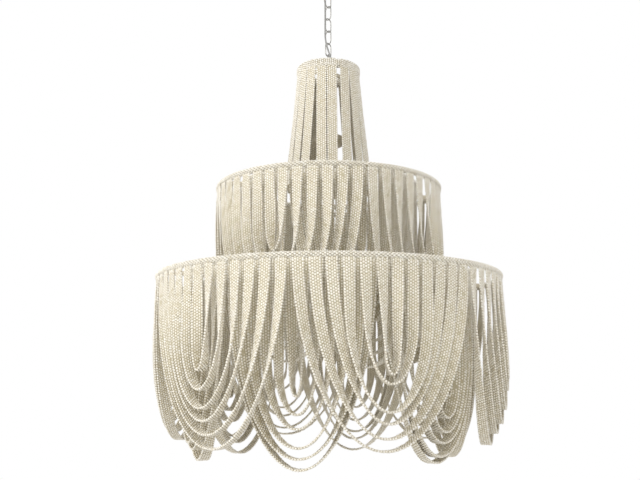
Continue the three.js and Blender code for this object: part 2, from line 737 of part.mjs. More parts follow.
function addLamps() {
  const bore = stemRadius + seatGap;
  const [waist, shoulderHeight] = clusterWaistShares.map((part) => clusterBottom + part * clusterHeight);
  let cluster = solidOf(lathe([
    [bore, clusterBottom], [clusterRadius * clusterFootShare, clusterBottom], [clusterRadius, waist],
    [clusterRadius, shoulderHeight], [clusterRadius * clusterTopShare, clusterTop], [bore, clusterTop],
    [bore, clusterBottom],
  ], fineSides));
  const armHeight = (clusterTop + clusterBottom) / 2;
  const armTop = lowerPlane + lampArmTopRise;
  for (let i = 0; i < lampCount; i += 1) {
    const angle = lampTurn + (360 * i) / lampCount;
    const out = outward(angle);
    const stations = [];
    const push = (radius, z, lean) => stations.push({
      at: out.clone().multiplyScalar(radius).setZ(z),
      across: sideways(angle),
      deep: up.clone().multiplyScalar(Math.cos(lean)).addScaledVector(out, -Math.sin(lean)),
    });
    push(clusterRadius - lampArmWire, armHeight, 0);
    for (let k = 0; k <= armBendSteps; k += 1) {
      const lean = (Math.PI / 2) * (k / armBendSteps);
      push(lampRadius - lampArmBend + lampArmBend * Math.sin(lean),
        armHeight + lampArmBend * (1 - Math.cos(lean)), lean);
    }
    push(lampRadius, armTop - lampArmWire / 2, Math.PI / 2);
    cluster = cluster.add(solidOf(sweep(stations, polygon(lampArmWire / 2, 6, Math.PI / 6))));
    const cup = new THREE.CylinderGeometry(sleeveRadius + sleeveWall, lampArmWire / 2, lampArmWire, roundSides);
    cup.rotateX(Math.PI / 2);
    cup.translate(out.x * lampRadius, out.y * lampRadius, armTop - lampArmWire / 2);
    cluster = cluster.add(solidOf(cup));

    const place = (geometry) => geometry.translate(out.x * lampRadius, out.y * lampRadius, armTop + seatGap);
    const well = socketHeight - socketWell;
    addMesh(`lamp_socket_${i + 1}`, place(lathe([
      [0, 0], [socketRadius, 0], [socketRadius, socketHeight], [socketBore, socketHeight], [socketBore, well],
      [0, well],
    ], lampSides)), capFinish);
    addMesh(`candle_sleeve_${i + 1}`, place(lathe([
      [sleeveRadius - sleeveWall, 0], [sleeveRadius, 0], [sleeveRadius, sleeveHeight],
      [sleeveRadius - sleeveWall, sleeveHeight], [sleeveRadius - sleeveWall, 0],
    ], roundSides)), sleeveFinish);
    const foot = well + seatGap;
    const shoulder = foot + bulbCapLength;
    const [neck, belly, brow, crown, tip] = bulbHeightShares.map((part) => shoulder + part * bulbLength);
    const [browRadius, crownRadius] = bulbRadiusShares.map((part) => part * bulbRadius);
    addMesh(`bulb_${i + 1}`, place(lathe([
      [0, foot], [bulbCapRadius, foot], [bulbCapRadius, shoulder], [bulbNeckRadius, neck],
      [bulbRadius, belly], [browRadius, brow], [crownRadius, crown], [0, tip],
    ], lampSides)), glassFinish);
  }
  addMesh("lamp_cluster", geometryOf(cluster), frameFinish);
}

// Supply cord, from the grommet beside the chain and round its last link into the gland.

function addCord() {
  const top = -canopyDepth;
  const bottom = stemTop + seatGap + glandHeight;
  const inside = grommetPlace.clone().setZ(-plateThickness - 2 * seatGap - terminalHeight);
  const end = glandPlace.clone().setZ(bottom + seatGap);
  const way = cordRouteShares.map(([distance, turn, share]) =>
    onCircle(distance, turn, THREE.MathUtils.lerp(top, bottom, share)));
  const points = [inside, grommetPlace.clone().setZ(top + canopySheet), ...way, end];
  const route = new THREE.CatmullRomCurve3(points, false, "centripetal");
  const outline = new THREE.Shape(polygon(cordRadius, cordSides).map(([a, b]) => new THREE.Vector2(a, b)));
  const cord = new THREE.ExtrudeGeometry(outline, { steps: cordSteps, extrudePath: route, bevelEnabled: false });
  addMesh("supply_cord", geometryOf(solidOf(cord)), cordFinish);
}

addCeilingPieces();
addChain();
addCord();
addFrame();
addStemPieces();
addLamps();
for (let group = 0; group < fringeGroups; group += 1) fringeNode(group);
const roomRound = (outsideRadius, z) => barTurns.map((turn) =>
  barSolid(hubRadius, outsideRadius - wrapSize / 2, layoutAngle(turn), z, barClearance));
const middleRoom = roomRound(middleRadius, middlePlane);
const lowerRoom = roomRound(lowerRadius, lowerPlane);
const dropsOf = (shares, drop) => shares.map((share) => share * drop);
swagTier("middle_swag", {
  outsideRadius: middleRadius, z: middlePlane, firstTurn: middleFirstTurn, bays: middleBays,
  drops: dropsOf(middleDropShares, middleDrop), bars: middleRoom, steps: hoopSteps, baysPerNode: 1,
  width: bandWidth, twistPower: twistPowerMean,
});
swagTier("middle_inner_swag", {
  outsideRadius: middleInnerRadius, z: middleInnerPlane, firstTurn: middleInnerFirstTurn, bays: middleBays,
  drops: dropsOf(middleInnerDropShares, middleDrop), bars: middleRoom, steps: smallHoopSteps, baysPerNode: 1,
  width: middleInnerBandWidth, twistPower: steadyTwistPower,
});
swagTier("outer_swag", {
  outsideRadius: lowerRadius, z: lowerPlane, firstTurn: outerFirstTurn, bays: lowerBays,
  drops: dropsOf(outerDropShares, lowerDrop), bars: lowerRoom, steps: hoopSteps, baysPerNode: 1,
  width: bandWidth, twistPower: twistPowerMean,
});
swagTier("inner_swag", {
  outsideRadius: lowerInnerRadius, z: lowerInnerPlane, firstTurn: innerFirstTurn, bays: lowerBays,
  drops: dropsOf(innerDropShares, lowerDrop), bars: lowerRoom, steps: hoopSteps, baysPerNode: 2,
  width: lowerInnerBandWidth, twistPower: twistPowerMean,
});

export default model;
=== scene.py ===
# %% [markdown]
# # A three-tier beaded chandelier
# The real light is a set of steel hoops on one stem. Each hoop is wrapped in small wooden beads,
# and flat bands of beads hang from it in nested loops. The solids from the frame give every place
# and size. This script gives them their beads, their metal and their paint.

# %% Load the frame
import math

import bmesh
import bpy
import numpy as np
from mathutils import Matrix, Vector


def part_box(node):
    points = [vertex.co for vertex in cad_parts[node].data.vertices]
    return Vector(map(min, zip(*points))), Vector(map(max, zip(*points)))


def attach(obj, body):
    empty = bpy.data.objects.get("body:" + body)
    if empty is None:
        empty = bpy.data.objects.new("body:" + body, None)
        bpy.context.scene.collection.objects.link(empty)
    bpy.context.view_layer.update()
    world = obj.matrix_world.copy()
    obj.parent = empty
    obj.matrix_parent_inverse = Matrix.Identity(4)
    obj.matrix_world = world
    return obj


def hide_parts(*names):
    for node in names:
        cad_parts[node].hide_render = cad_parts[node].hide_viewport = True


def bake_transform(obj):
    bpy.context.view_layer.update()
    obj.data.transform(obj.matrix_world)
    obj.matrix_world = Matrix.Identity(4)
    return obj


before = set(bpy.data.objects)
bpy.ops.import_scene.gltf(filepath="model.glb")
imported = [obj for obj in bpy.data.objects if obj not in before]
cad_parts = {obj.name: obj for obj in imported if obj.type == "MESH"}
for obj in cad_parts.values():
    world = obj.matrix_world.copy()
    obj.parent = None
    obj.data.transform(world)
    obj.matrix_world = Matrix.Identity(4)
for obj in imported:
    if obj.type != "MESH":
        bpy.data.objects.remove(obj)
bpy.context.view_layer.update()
MM = 0.001

# %% [markdown]
# ## The camera
# The three hoops are circles, so their ellipses in the picture give the camera. It stands a little
# over two metres away, below the lowest hoop's plane, and looks up by ten degrees.

# %% Place the camera
def add_object(name, data):
    item = bpy.data.objects.new(name, data)
    bpy.context.collection.objects.link(item)
    return item


FOCAL_PIXELS = 850
IMAGE_WIDTH = 640
SENSOR_WIDTH = 36
CAMERA_PLACE = (0, -2.257, -1.1796)
CAMERA_TILT = 10.2
CAMERA_TURN = 0.59

camera_data = bpy.data.cameras.new("camera")
camera_data.sensor_width = SENSOR_WIDTH
camera_data.lens = SENSOR_WIDTH * FOCAL_PIXELS / IMAGE_WIDTH
camera = add_object("camera", camera_data)
camera.location = CAMERA_PLACE
camera.rotation_euler = (math.radians(90 + CAMERA_TILT), 0, math.radians(CAMERA_TURN))
bpy.context.scene.camera = camera
print("lens", round(camera_data.lens, 1), "mm")

# %% [markdown]
# ## Colours and materials
# A colour is written as the sRGB hex value that the eye sees, and one function turns it into the
# linear value that the renderer wants. A second function adds a shader node with its settings
# and links, so that each material below reads as a short list.

# %% Helpers for materials
def linear(hex_colour):
    values = [int(hex_colour[i:i + 2], 16) / 255 for i in (1, 3, 5)]
    lifted = [v / 12.92 if v <= 0.04045 else ((v + 0.055) / 1.055) ** 2.4 for v in values]
    return (*lifted, 1)


def add_node(tree, kind, links=None, values=None, **settings):
    item = tree.nodes.new(kind)
    for key, value in settings.items():
        setattr(item, key, value)
    for key, value in (values or {}).items():
        item.inputs[key].default_value = value
    for key, socket in (links or {}).items():
        tree.links.new(socket, item.inputs[key])
    return item


def new_material(name):
    """A material with its node tree, its output and the place on the object for patterns."""
    material = bpy.data.materials.new(name)
    material.use_nodes = True
    tree = material.node_tree
    tree.nodes.clear()
    output = add_node(tree, "ShaderNodeOutputMaterial")
    place = add_node(tree, "ShaderNodeTexCoord").outputs["Object"]
    return material, tree, output, place


def set_ramp(ramp, stops):
    elements = ramp.color_ramp.elements
    while len(elements) < len(stops):
        elements.new(0.5)
    for element, (place, colour) in zip(elements, stops):
        element.position = place
        element.color = linear(colour)


def two_tone_material(name, scale, detail, stops, values):
    """A material whose colour drifts between two tones."""
    material, tree, output, place = new_material(name)
    drift = add_node(tree, "ShaderNodeTexNoise", {"Vector": place}, {"Scale": scale, "Detail": detail})
    ramp = add_node(tree, "ShaderNodeValToRGB", {"Fac": drift.outputs["Fac"]})
    set_ramp(ramp, stops)
    shader = add_node(tree, "ShaderNodeBsdfPrincipled", {"Base Color": ramp.outputs["Color"]}, values)
    tree.links.new(shader.outputs["BSDF"], output.inputs["Surface"])
    return material


# %% [markdown]
# ### Painted wooden beads
# The beads are small turned wooden balls in a matt off-white paint. Each one takes the paint a
# little differently, so the tone comes from a number that every bead carries. The two ends of a
# bead, round its hole, are darkened as painted shade where the beads touch. A second number runs
# from nought round a bead's waist to one at its ends.

# %% Painted wooden beads
BUMP_DEPTH = 0.2 * MM
FIRST_COLOUR, SECOND_COLOUR, MIXED_COLOUR = 6, 7, 2

bead_paint, tree, output, place = new_material("matt painted wooden beads")
tone = add_node(tree, "ShaderNodeAttribute", attribute_name="bead_tone")
tone_ramp = add_node(tree, "ShaderNodeValToRGB", {"Fac": tone.outputs["Fac"]})
set_ramp(tone_ramp, [(0.0, "#E4DDCB"), (0.45, "#F0EBDF"), (1.0, "#F9F6EE")])
# The bead ends are darkened here as painted shade where neighbouring beads touch.
ends = add_node(tree, "ShaderNodeAttribute", attribute_name="bead_end")
end_shade_ramp = add_node(tree, "ShaderNodeValToRGB", {"Fac": ends.outputs["Fac"]})
set_ramp(end_shade_ramp, [(0.5, "#FFFFFF"), (1.0, "#8B8264")])
colours = {FIRST_COLOUR: tone_ramp.outputs["Color"], SECOND_COLOUR: end_shade_ramp.outputs["Color"]}
bead_colour = add_node(tree, "ShaderNodeMix", colours, {"Factor": 1}, data_type="RGBA",
                       blend_type="MULTIPLY")
grain = add_node(tree, "ShaderNodeTexNoise", {"Vector": place}, {"Scale": 1100, "Detail": 2})
bump = add_node(tree, "ShaderNodeBump", {"Height": grain.outputs["Fac"]},
                {"Strength": 0.12, "Distance": BUMP_DEPTH})
shader = add_node(tree, "ShaderNodeBsdfPrincipled",
                  {"Base Color": bead_colour.outputs[MIXED_COLOUR], "Normal": bump.outputs["Normal"]},
                  {"Roughness": 0.62, "IOR": 1.48})
tree.links.new(shader.outputs["BSDF"], output.inputs["Surface"])

# %% [markdown]
# ### Cotton tape
# The strands are sewn to a cotton tape, coloured darker than the beads as painted shade between
# them. Its weave is under a millimetre, so it shows as a slight unevenness of tone and height.

# %% Cotton tape
tape_in_painted_shade, tree, output, place = new_material("cotton tape in painted shade")
weave = add_node(tree, "ShaderNodeTexNoise", {"Vector": place}, {"Scale": 1400, "Detail": 2})
ramp = add_node(tree, "ShaderNodeValToRGB", {"Fac": weave.outputs["Fac"]})
set_ramp(ramp, [(0.3, "#B0A68A"), (0.7, "#C7BDA3")])
bump = add_node(tree, "ShaderNodeBump", {"Height": weave.outputs["Fac"]},
                {"Strength": 0.3, "Distance": BUMP_DEPTH})
shader = add_node(tree, "ShaderNodeBsdfPrincipled",
                  {"Base Color": ramp.outputs["Color"], "Normal": bump.outputs["Normal"]},
                  {"Roughness": 0.9})
tree.links.new(shader.outputs["BSDF"], output.inputs["Surface"])

# %% [markdown]
# ### Satin nickel plate
# The chain, the loops and the canopy are steel with a satin nickel plate. Plating is smooth, so the
# roughness only drifts softly over a few centimetres, as wiped metal does.

# %% Satin nickel plate
nickel, tree, output, place = new_material("satin nickel plate")
wipe = add_node(tree, "ShaderNodeTexNoise", {"Vector": place}, {"Scale": 60, "Detail": 3})
gloss = add_node(tree, "ShaderNodeMapRange", {"Value": wipe.outputs["Fac"]},
                 {"To Min": 0.22, "To Max": 0.36})
shader = add_node(tree, "ShaderNodeBsdfPrincipled", {"Roughness": gloss.outputs["Result"]},
                  {"Base Color": linear("#A2A09B"), "Metallic": 1})
tree.links.new(shader.outputs["BSDF"], output.inputs["Surface"])

# %% [markdown]
# ### Cream painted steel
# Hoops, bars and hubs are sprayed to match the beads. Spray paint dries with a fine orange-peel
# of about half a millimetre, which the bump repeats.

# %% Cream painted steel
frame_paint, tree, output, place = new_material("cream sprayed steel")
peel = add_node(tree, "ShaderNodeTexNoise", {"Vector": place}, {"Scale": 900, "Detail": 1})
drift = add_node(tree, "ShaderNodeTexNoise", {"Vector": place}, {"Scale": 14, "Detail": 3})
ramp = add_node(tree, "ShaderNodeValToRGB", {"Fac": drift.outputs["Fac"]})
set_ramp(ramp, [(0.3, "#C9BFA8"), (0.7, "#D6CDB9")])
bump = add_node(tree, "ShaderNodeBump", {"Height": peel.outputs["Fac"]},
                {"Strength": 0.15, "Distance": BUMP_DEPTH})
shader = add_node(tree, "ShaderNodeBsdfPrincipled",
                  {"Base Color": ramp.outputs["Color"], "Normal": bump.outputs["Normal"]},
                  {"Roughness": 0.45})
tree.links.new(shader.outputs["BSDF"], output.inputs["Surface"])

# %% [markdown]
# ### Plastics, glass and brass
# The candle sleeves are matt ivory plastic, the lampholders and the cord's bushings black
# phenolic, and the cord has a silver-grey PVC jacket. The bulbs are thin clear glass with a
# brass screw cap.

# %% Plastics and brass
sleeve_plastic = two_tone_material("matt ivory sleeve plastic", 40, 4,
                                   [(0.3, "#EADFC6"), (0.7, "#F3ECDB")],
                                   {"Roughness": 0.55, "IOR": 1.49})
phenolic = two_tone_material("black phenolic", 300, 3, [(0.35, "#1B1A19"), (0.75, "#2C2A28")],
                             {"Roughness": 0.42, "IOR": 1.6})
jacket = two_tone_material("silver-grey PVC jacket", 120, 3, [(0.3, "#838280"), (0.7, "#9C9B97")],
                           {"Roughness": 0.35, "IOR": 1.53})
cap_brass = two_tone_material("drawn brass screw cap", 200, 2, [(0.3, "#A98B4F"), (0.7, "#C2A768")],
                              {"Metallic": 1, "Roughness": 0.3})

# %% Clear bulb glass
bulb_glass, tree, output, place = new_material("thin clear bulb glass")
film = add_node(tree, "ShaderNodeTexNoise", {"Vector": place}, {"Scale": 50, "Detail": 2})
gloss = add_node(tree, "ShaderNodeMapRange", {"Value": film.outputs["Fac"]},
                 {"To Min": 0.01, "To Max": 0.06})
shader = add_node(tree, "ShaderNodeBsdfPrincipled", {"Roughness": gloss.outputs["Result"]},
                  {"Base Color": linear("#F4F4EE"), "IOR": 1.45, "Transmission Weight": 1.0})
tree.links.new(shader.outputs["BSDF"], output.inputs["Surface"])
print("materials", len(bpy.data.materials))

# %% [markdown]
# ## Where the bands hang
# The bays of swags are spaced round each hoop by the same small formulas as the solids: an angle
# counts from the front, and the bays at the front are slightly narrower than those at the back.

# %% Sizes of the tiers, in millimetres
LOWER_RADIUS = 457
LOWER_INNER_RADIUS = LOWER_RADIUS * math.cos(math.pi / 6) - 15.8
MIDDLE_RADIUS = 305
MIDDLE_INNER_RADIUS = MIDDLE_RADIUS * math.cos(math.pi / 4) + 26.3
UPPER_RADIUS = 89
FLARE_RADIUS = 120
WRAP_SIZE = 17
UPPER_WRAP_HEIGHT = 28
BAND_THICKNESS = 5.5
BAND_INSET = 3
HOOP_WIRE = 6
SEAT_GAP = 0.3
BAR_THICKNESS = 3
BAR_HEIGHT = 12
BAND_TOP_DROP = WRAP_SIZE / 2 - ((WRAP_SIZE - HOOP_WIRE) / 2 - SEAT_GAP) * 2 / 3


def middle_height(node):
    low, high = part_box(node)
    return (low[2] + high[2]) / 2 / MM


UPPER_PLANE = middle_height("upper_hoop")
MIDDLE_PLANE = middle_height("middle_hoop")
LOWER_PLANE = middle_height("lower_hoop")
LOWER_INNER_PLANE = middle_height("lower_inner_hoop")
MIDDLE_INNER_PLANE = middle_height("middle_inner_hoop")
FLARE_PLANE = middle_height("flare_hoop")
print("planes", [round(v, 1) for v in (UPPER_PLANE, MIDDLE_PLANE, LOWER_PLANE)])


# %% Places round the fixture
def layout_angle(turn):
    return 3.2 + turn - 3.7 * math.sin(math.radians(turn))


def fringe_angle(turn):
    return turn + 5 * (1 - math.cos(math.radians(turn))) / 2


UP = np.array([0.0, 0.0, 1.0])


def outward(angle):
    """The direction away from the stem at one angle or at each of many, in degrees."""
    radians = np.radians(angle)
    return np.stack([np.sin(radians), -np.cos(radians), np.zeros_like(radians)], axis=-1)


def sideways(angle):
    return outward(angle + 90)


def on_circle(radius, angle, z):
    return outward(angle) * radius + UP * z


def scatter(seed):
    value = math.sin(seed * 12.9898) * 43758.5453
    return 2 * (value - math.floor(value)) - 1


BAR_TURNS = [15, 105, 195, 285]
UPPER_BAR_TURNS = [17, 137, 257]
LOWER_BAR_ANGLES = [layout_angle(turn) for turn in BAR_TURNS]
UPPER_BAR_ANGLES = [fringe_angle(turn) for turn in UPPER_BAR_TURNS]

# %% [markdown]
# ## One band's way
# A loop hangs in the upright plane through its two ends. Its legs are straight and its bottom is
# round. The band lies flat on the hoop, and twists along each leg until it lies flat across the
# bottom, so a loop that starts wide ends up edge-on. Each row below holds a point of the band's
# middle line, its run, its width direction and its face direction.

# %% Walk along one loop
LEG_TAPER = 6
BEND_ASPECT = 2.2
ROUNDED_SHARE = 0.75
LEG_PACE = 0.8


def swag_route(radius, z, angle_a, angle_b, drop, twist_power, samples=400):
    end_a = on_circle(radius, angle_a, z)
    end_b = on_circle(radius, angle_b, z)
    chord = end_b - end_a
    half_span = np.linalg.norm(chord) / 2
    chord = chord / np.linalg.norm(chord)
    middle = (end_a + end_b) / 2
    out = np.array([chord[1], -chord[0], 0.0])
    tilt = math.asin(half_span / radius)
    round_height = BEND_ASPECT * half_span
    bend_height = round_height if round_height < drop * ROUNDED_SHARE else drop
    turn = np.linspace(-1, 1, 2 * samples + 1)
    share = np.abs(turn)
    bend_share = bend_height / (bend_height + (drop - bend_height) * LEG_PACE)
    in_bend = bend_height * (1 - np.cos(math.pi / 2 * np.minimum(share / bend_share, 1)))
    up_leg = (drop - bend_height) * (share - bend_share) / max(1 - bend_share, 1e-9)
    height = np.where(share < bend_share, in_bend, bend_height + up_leg)
    height = np.clip(height, 0, drop)
    low = 1 - np.minimum(height, bend_height) / bend_height
    side = (half_span - LEG_TAPER * (1 - height / drop)) * np.sqrt(1 - low * low)
    at = middle + chord * (np.sign(turn) * side)[:, None]
    at[:, 2] = z - drop + height
    run = np.gradient(at, axis=0)
    run = run / np.linalg.norm(run, axis=1)[:, None]
    inward = -np.cross(run, out)
    twist = -tilt + (math.pi / 2 + tilt) * (1 - height / drop) ** twist_power
    across = inward * np.cos(twist)[:, None] - out * np.sin(twist)[:, None]
    face = inward * np.sin(twist)[:, None] + out * np.cos(twist)[:, None]
    return at, run, across, face


# %% [markdown]
# ## The beads
# One bead is an icosphere with twenty faces, which shows round at this size because it is shaded
# smoothly. Modelling nearly ninety thousand one by one would take minutes, so the operator makes
# the one bead, and the rows of its copies are stamped from its points with array arithmetic. The
# five strands of a band are sewn to a narrow cotton tape that shows a little between the beads,
# its darker colour painted shade.

# %% One bead
BEAD_ACROSS = 5.4
BEAD_ALONG = 6.4
BEAD_FULLNESS = 1.1

bead_form = bmesh.new()
bmesh.ops.create_icosphere(bead_form, subdivisions=1, radius=1)
bead_points = np.array([v.co[:] for v in bead_form.verts])
bead_faces = np.array([[v.index for v in f.verts] for f in bead_form.faces])
bead_form.free()
print("one bead has", len(bead_faces), "faces")


# %% Carry an outline along a route
def frame_matrix(at, across, face, along):
    return Matrix([[across[k], face[k], along[k], at[k]] for k in range(3)] + [[0, 0, 0, 1]])


def extrude_along(form, edges, matrices):
    """Carry an outline that lies in the first matrix's plane from matrix to matrix."""
    for here, ahead in zip(matrices, matrices[1:]):
        made = bmesh.ops.extrude_edge_only(form, edges=edges)["geom"]
        verts = [item for item in made if isinstance(item, bmesh.types.BMVert)]
        edges = [item for item in made if isinstance(item, bmesh.types.BMEdge)]
        bmesh.ops.transform(form, matrix=ahead @ here.inverted(), verts=verts)
    return edges


# %% Pile up beads and stamp them
SIZE_SCATTER = 0.03
TONE_MIDDLE = 0.5
TONE_SCATTER = 0.22


class BeadPile:
    """The beads of one piece: their centres, directions and tones, until they become a mesh."""

    def __init__(self, name, seed):
        self.name = name
        self.random = np.random.default_rng(seed)
        self.centres = []
        self.frames = []
        self.tape_points = []
        self.tape_faces = []
        self.tape_count = 0

    def add_tape(self, matrices, wide, deep, sides=4):
        """A tape or a core with its outline carried from matrix to matrix, closed at both ends."""
        form = bmesh.new()
        bmesh.ops.create_circle(form, cap_ends=True, segments=sides, radius=math.sqrt(0.5))
        half_side = Matrix.Rotation(math.pi / sides, 3, "Z")
        bmesh.ops.rotate(form, cent=(0, 0, 0), matrix=half_side, verts=form.verts)
        bmesh.ops.scale(form, vec=(wide, deep, 1), verts=form.verts)
        bmesh.ops.transform(form, matrix=matrices[0], verts=form.verts)
        last = extrude_along(form, list(form.edges), matrices)
        bmesh.ops.edgeloop_fill(form, edges=last)
        bmesh.ops.recalc_face_normals(form, faces=form.faces)
        bmesh.ops.triangulate(form, faces=form.faces)
        form.verts.index_update()
        faces = np.array([[v.index for v in f.verts] for f in form.faces])
        self.tape_points.append(np.array([v.co[:] for v in form.verts]))
        self.tape_faces.append(faces + self.tape_count)
        self.tape_count += len(form.verts)
        form.free()

    def add(self, centres, along, across, face):
        self.centres.append(centres)
        self.frames.append(np.stack([across, face, along], axis=1))

    def finish(self, node):
        """Make the mesh, tie it to its body, hide its solid and count its triangles."""
        centres = np.concatenate(self.centres)
        frames = np.concatenate(self.frames)
        count = len(centres)
        turn = self.random.uniform(0, 2 * math.pi, count)
        size = self.random.normal(1, SIZE_SCATTER, count)
        half = np.array([BEAD_ACROSS / 2, BEAD_ACROSS / 2, BEAD_ALONG / 2]) * BEAD_FULLNESS
        cos, sin = np.cos(turn), np.sin(turn)
        x = bead_points[None, :, 0] * cos[:, None] - bead_points[None, :, 1] * sin[:, None]
        y = bead_points[None, :, 0] * sin[:, None] + bead_points[None, :, 1] * cos[:, None]
        z = np.broadcast_to(bead_points[None, :, 2], x.shape)
        local = np.stack([x, y, z], axis=2) * half * size[:, None, None]
        points = centres[:, None, :] + np.einsum("npk,nkc->npc", local, frames)
        faces = bead_faces[None, :, :] + (np.arange(count) * len(bead_points))[:, None, None]
        bead_total = count * len(bead_points)
        points = np.concatenate([points.reshape(-1, 3)] + self.tape_points)
        faces = np.concatenate([faces.reshape(-1, 3)] + [part + bead_total for part in self.tape_faces])
        mesh = bpy.data.meshes.new(self.name)
        mesh.from_pydata(points * MM, [], faces)
        mesh.shade_smooth()
        mesh.set_sharp_from_angle(angle=math.radians(75))
        tones = np.clip(self.random.normal(TONE_MIDDLE, TONE_SCATTER, count), 0, 1)
        tones = np.concatenate([np.repeat(tones, len(bead_points)),
                                np.full(self.tape_count, TONE_MIDDLE)])
        # bead_end runs from nought at a bead's waist to one at its ends, where the material paints shade.
        ends = np.concatenate([np.tile(np.abs(bead_points[:, 2]), count), np.zeros(self.tape_count)])
        for name, values in (("bead_tone", tones), ("bead_end", ends)):
            attribute = mesh.attributes.new(name, "FLOAT", "POINT")
            attribute.data.foreach_set("value", values.astype(np.float32))
        is_tape = np.arange(len(faces)) >= count * len(bead_faces)
        mesh.polygons.foreach_set("material_index", is_tape.astype(np.int32))
        piece = add_object(self.name, mesh)
        mesh.materials.append(bead_paint)
        mesh.materials.append(tape_in_painted_shade)
        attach(piece, "fixture")
        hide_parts(node)
        return len(mesh.polygons)


# %% String one band
STRANDS = 5
PLACE_SCATTER = 0.25
TAPE_INSET = 3.4
TAPE_THICKNESS = 1.6
TAPE_STEP = 26


def string_band(pile, at, run, across, face, strand_pitch=BEAD_ACROSS):
    """Five strands of beads side by side along a route, on their tape."""
    stops = np.linspace(0, len(at) - 1, max(8, len(at) // TAPE_STEP)).astype(int)
    matrices = [frame_matrix(at[k], across[k], face[k], np.cross(across[k], face[k])) for k in stops]
    pile.add_tape(matrices, STRANDS * strand_pitch - TAPE_INSET, TAPE_THICKNESS)
    steps = np.linalg.norm(np.diff(at, axis=0), axis=1)
    way = np.concatenate([[0], np.cumsum(steps)])
    rows = int(way[-1] / BEAD_ALONG)
    pitch = way[-1] / rows
    for strand in range(STRANDS):
        shift = 0.5 if strand % 2 else 0.0
        slips = pile.random.normal(0, PLACE_SCATTER, rows)
        places = (np.arange(rows) + 0.25 + shift) * pitch + slips
        places = np.clip(places, BEAD_ALONG / 2, way[-1] - BEAD_ALONG / 2)
        centre, along, wide, flat = (
            np.stack([np.interp(places, way, rows_of[:, k]) for k in range(3)], axis=1)
            for rows_of in (at, run, across, face))
        offset = (strand - (STRANDS - 1) / 2) * strand_pitch
        lift = pile.random.normal(0, PLACE_SCATTER, rows)
        pile.add(centre + wide * offset + flat * lift[:, None], along, wide, flat)


# %% [markdown]
# ## The wraps
# A second string of beads is wound round each hoop until nothing of the wire shows. The winding
# leans, so its beads make slanting rows. Where a flat bar meets the hoop the winding parts.

# %% Wind beads round a hoop
WRAP_BEAD_SPACE = 5.8
WRAP_PITCH = 5.0
WRAP_LEAN = 3.2
WRAP_CORE = 7.2
CORE_STEP = 2.5
BAR_CLEARANCE = 1


def wind_wrap(pile, outside_radius, z, place, from_turn, to_turn, bar_angles, bar_z, height=WRAP_SIZE):
    radius = outside_radius - WRAP_SIZE / 2
    from_angle = math.radians(place(from_turn))
    to_angle = math.radians(place(to_turn))
    count = int((to_angle - from_angle) * radius / WRAP_PITCH)
    roll = WRAP_SIZE / 2 - BEAD_ACROSS / 2 * BEAD_FULLNESS
    fall = height - WRAP_SIZE
    girth = 2 * math.pi * roll + 2 * fall
    angle = from_angle + (np.arange(count) + 0.5) * (to_angle - from_angle) / count
    beads_round = round(girth / WRAP_BEAD_SPACE)
    ring = np.arange(beads_round) * girth / beads_round
    way = (ring[None, :] + (np.arange(count) * WRAP_LEAN)[:, None]) % girth
    angle = np.degrees(np.broadcast_to(angle[:, None], way.shape).ravel())
    way = way.ravel()
    half_turn = math.pi * roll
    inner_side = np.clip(way - half_turn, 0, fall)
    outer_side = np.clip(way - 2 * half_turn - fall, 0, fall)
    around = (way - inner_side - outer_side) / roll
    out = outward(angle)
    side = sideways(angle)
    away = out * np.cos(around)[:, None] + UP * np.sin(around)[:, None]
    tangent = -out * np.sin(around)[:, None] + UP * np.cos(around)[:, None]
    level = z - inner_side + outer_side
    centre = out * radius + UP * level[:, None] + away * roll
    keep = np.ones(len(centre), bool)
    for bar in bar_angles:
        bar_out, bar_side = outward(bar), sideways(bar)
        near = np.abs(centre @ bar_side) < BAR_THICKNESS / 2 + BEAD_ACROSS / 2
        ahead = centre @ bar_out > 0
        inside = (centre[:, :2] ** 2).sum(axis=1) < (radius + HOOP_WIRE / 2) ** 2
        beside = np.abs(centre[:, 2] - bar_z) < BAR_HEIGHT / 2 + BEAD_ACROSS / 2
        keep &= ~(near & ahead & inside & beside)
    pile.add(centre[keep], tangent[keep], side[keep], away[keep])
    # The core under the winding takes the tape's colour, which is painted shade between the beads.
    cuts = [math.degrees(from_angle), math.degrees(to_angle)]
    room = math.degrees((BAR_THICKNESS / 2 + BAR_CLEARANCE) / radius)
    for bar in bar_angles:
        for whole_turn in (-360, 0, 360):
            if cuts[0] + room < bar + whole_turn < math.degrees(to_angle) - room:
                cuts += [bar + whole_turn - room, bar + whole_turn + room]
    cuts.sort()
    for start, end in zip(cuts[::2], cuts[1::2]):
        stops = np.linspace(start, end, max(2, int((end - start) / CORE_STEP)) + 1)
        pile.add_tape([frame_matrix(on_circle(radius, a, z - fall / 2), outward(a), UP, -sideways(a))
                       for a in stops], WRAP_CORE, WRAP_CORE + fall / math.sqrt(2), sides=8)


# %% [markdown]
# ## The swags
# Each bay is a set of nested loops and the stretch of wrap that they hang from. The drops and the
# small unevenness of hand-hung bands repeat the numbers of the solids, so that the beads lie where
# the solids are.

# %% Hang the swags
LOWEST_DROP = 466
DROP_SCATTER = 7
TWIST_MEAN = 1.35
STEADY_TWIST = 4
TWIST_SCATTER = 0.5
OUTER_DROP_SHARES = [0.539, 0.607, 0.719, 0.777, 0.843, 0.895]
INNER_DROP_SHARES = [0.676, 0.758, 0.833, 0.897, 0.948, 1]
MIDDLE_DROP_SHARES = [0.457, 0.569, 0.697, 0.826, 0.923, 1]
MIDDLE_INNER_DROP_SHARES = [0.498, 0.585, 0.645, 0.71, 0.777, 0.841]
MIDDLE_INNER_PITCH = 5.6
INNER_PITCH = 6


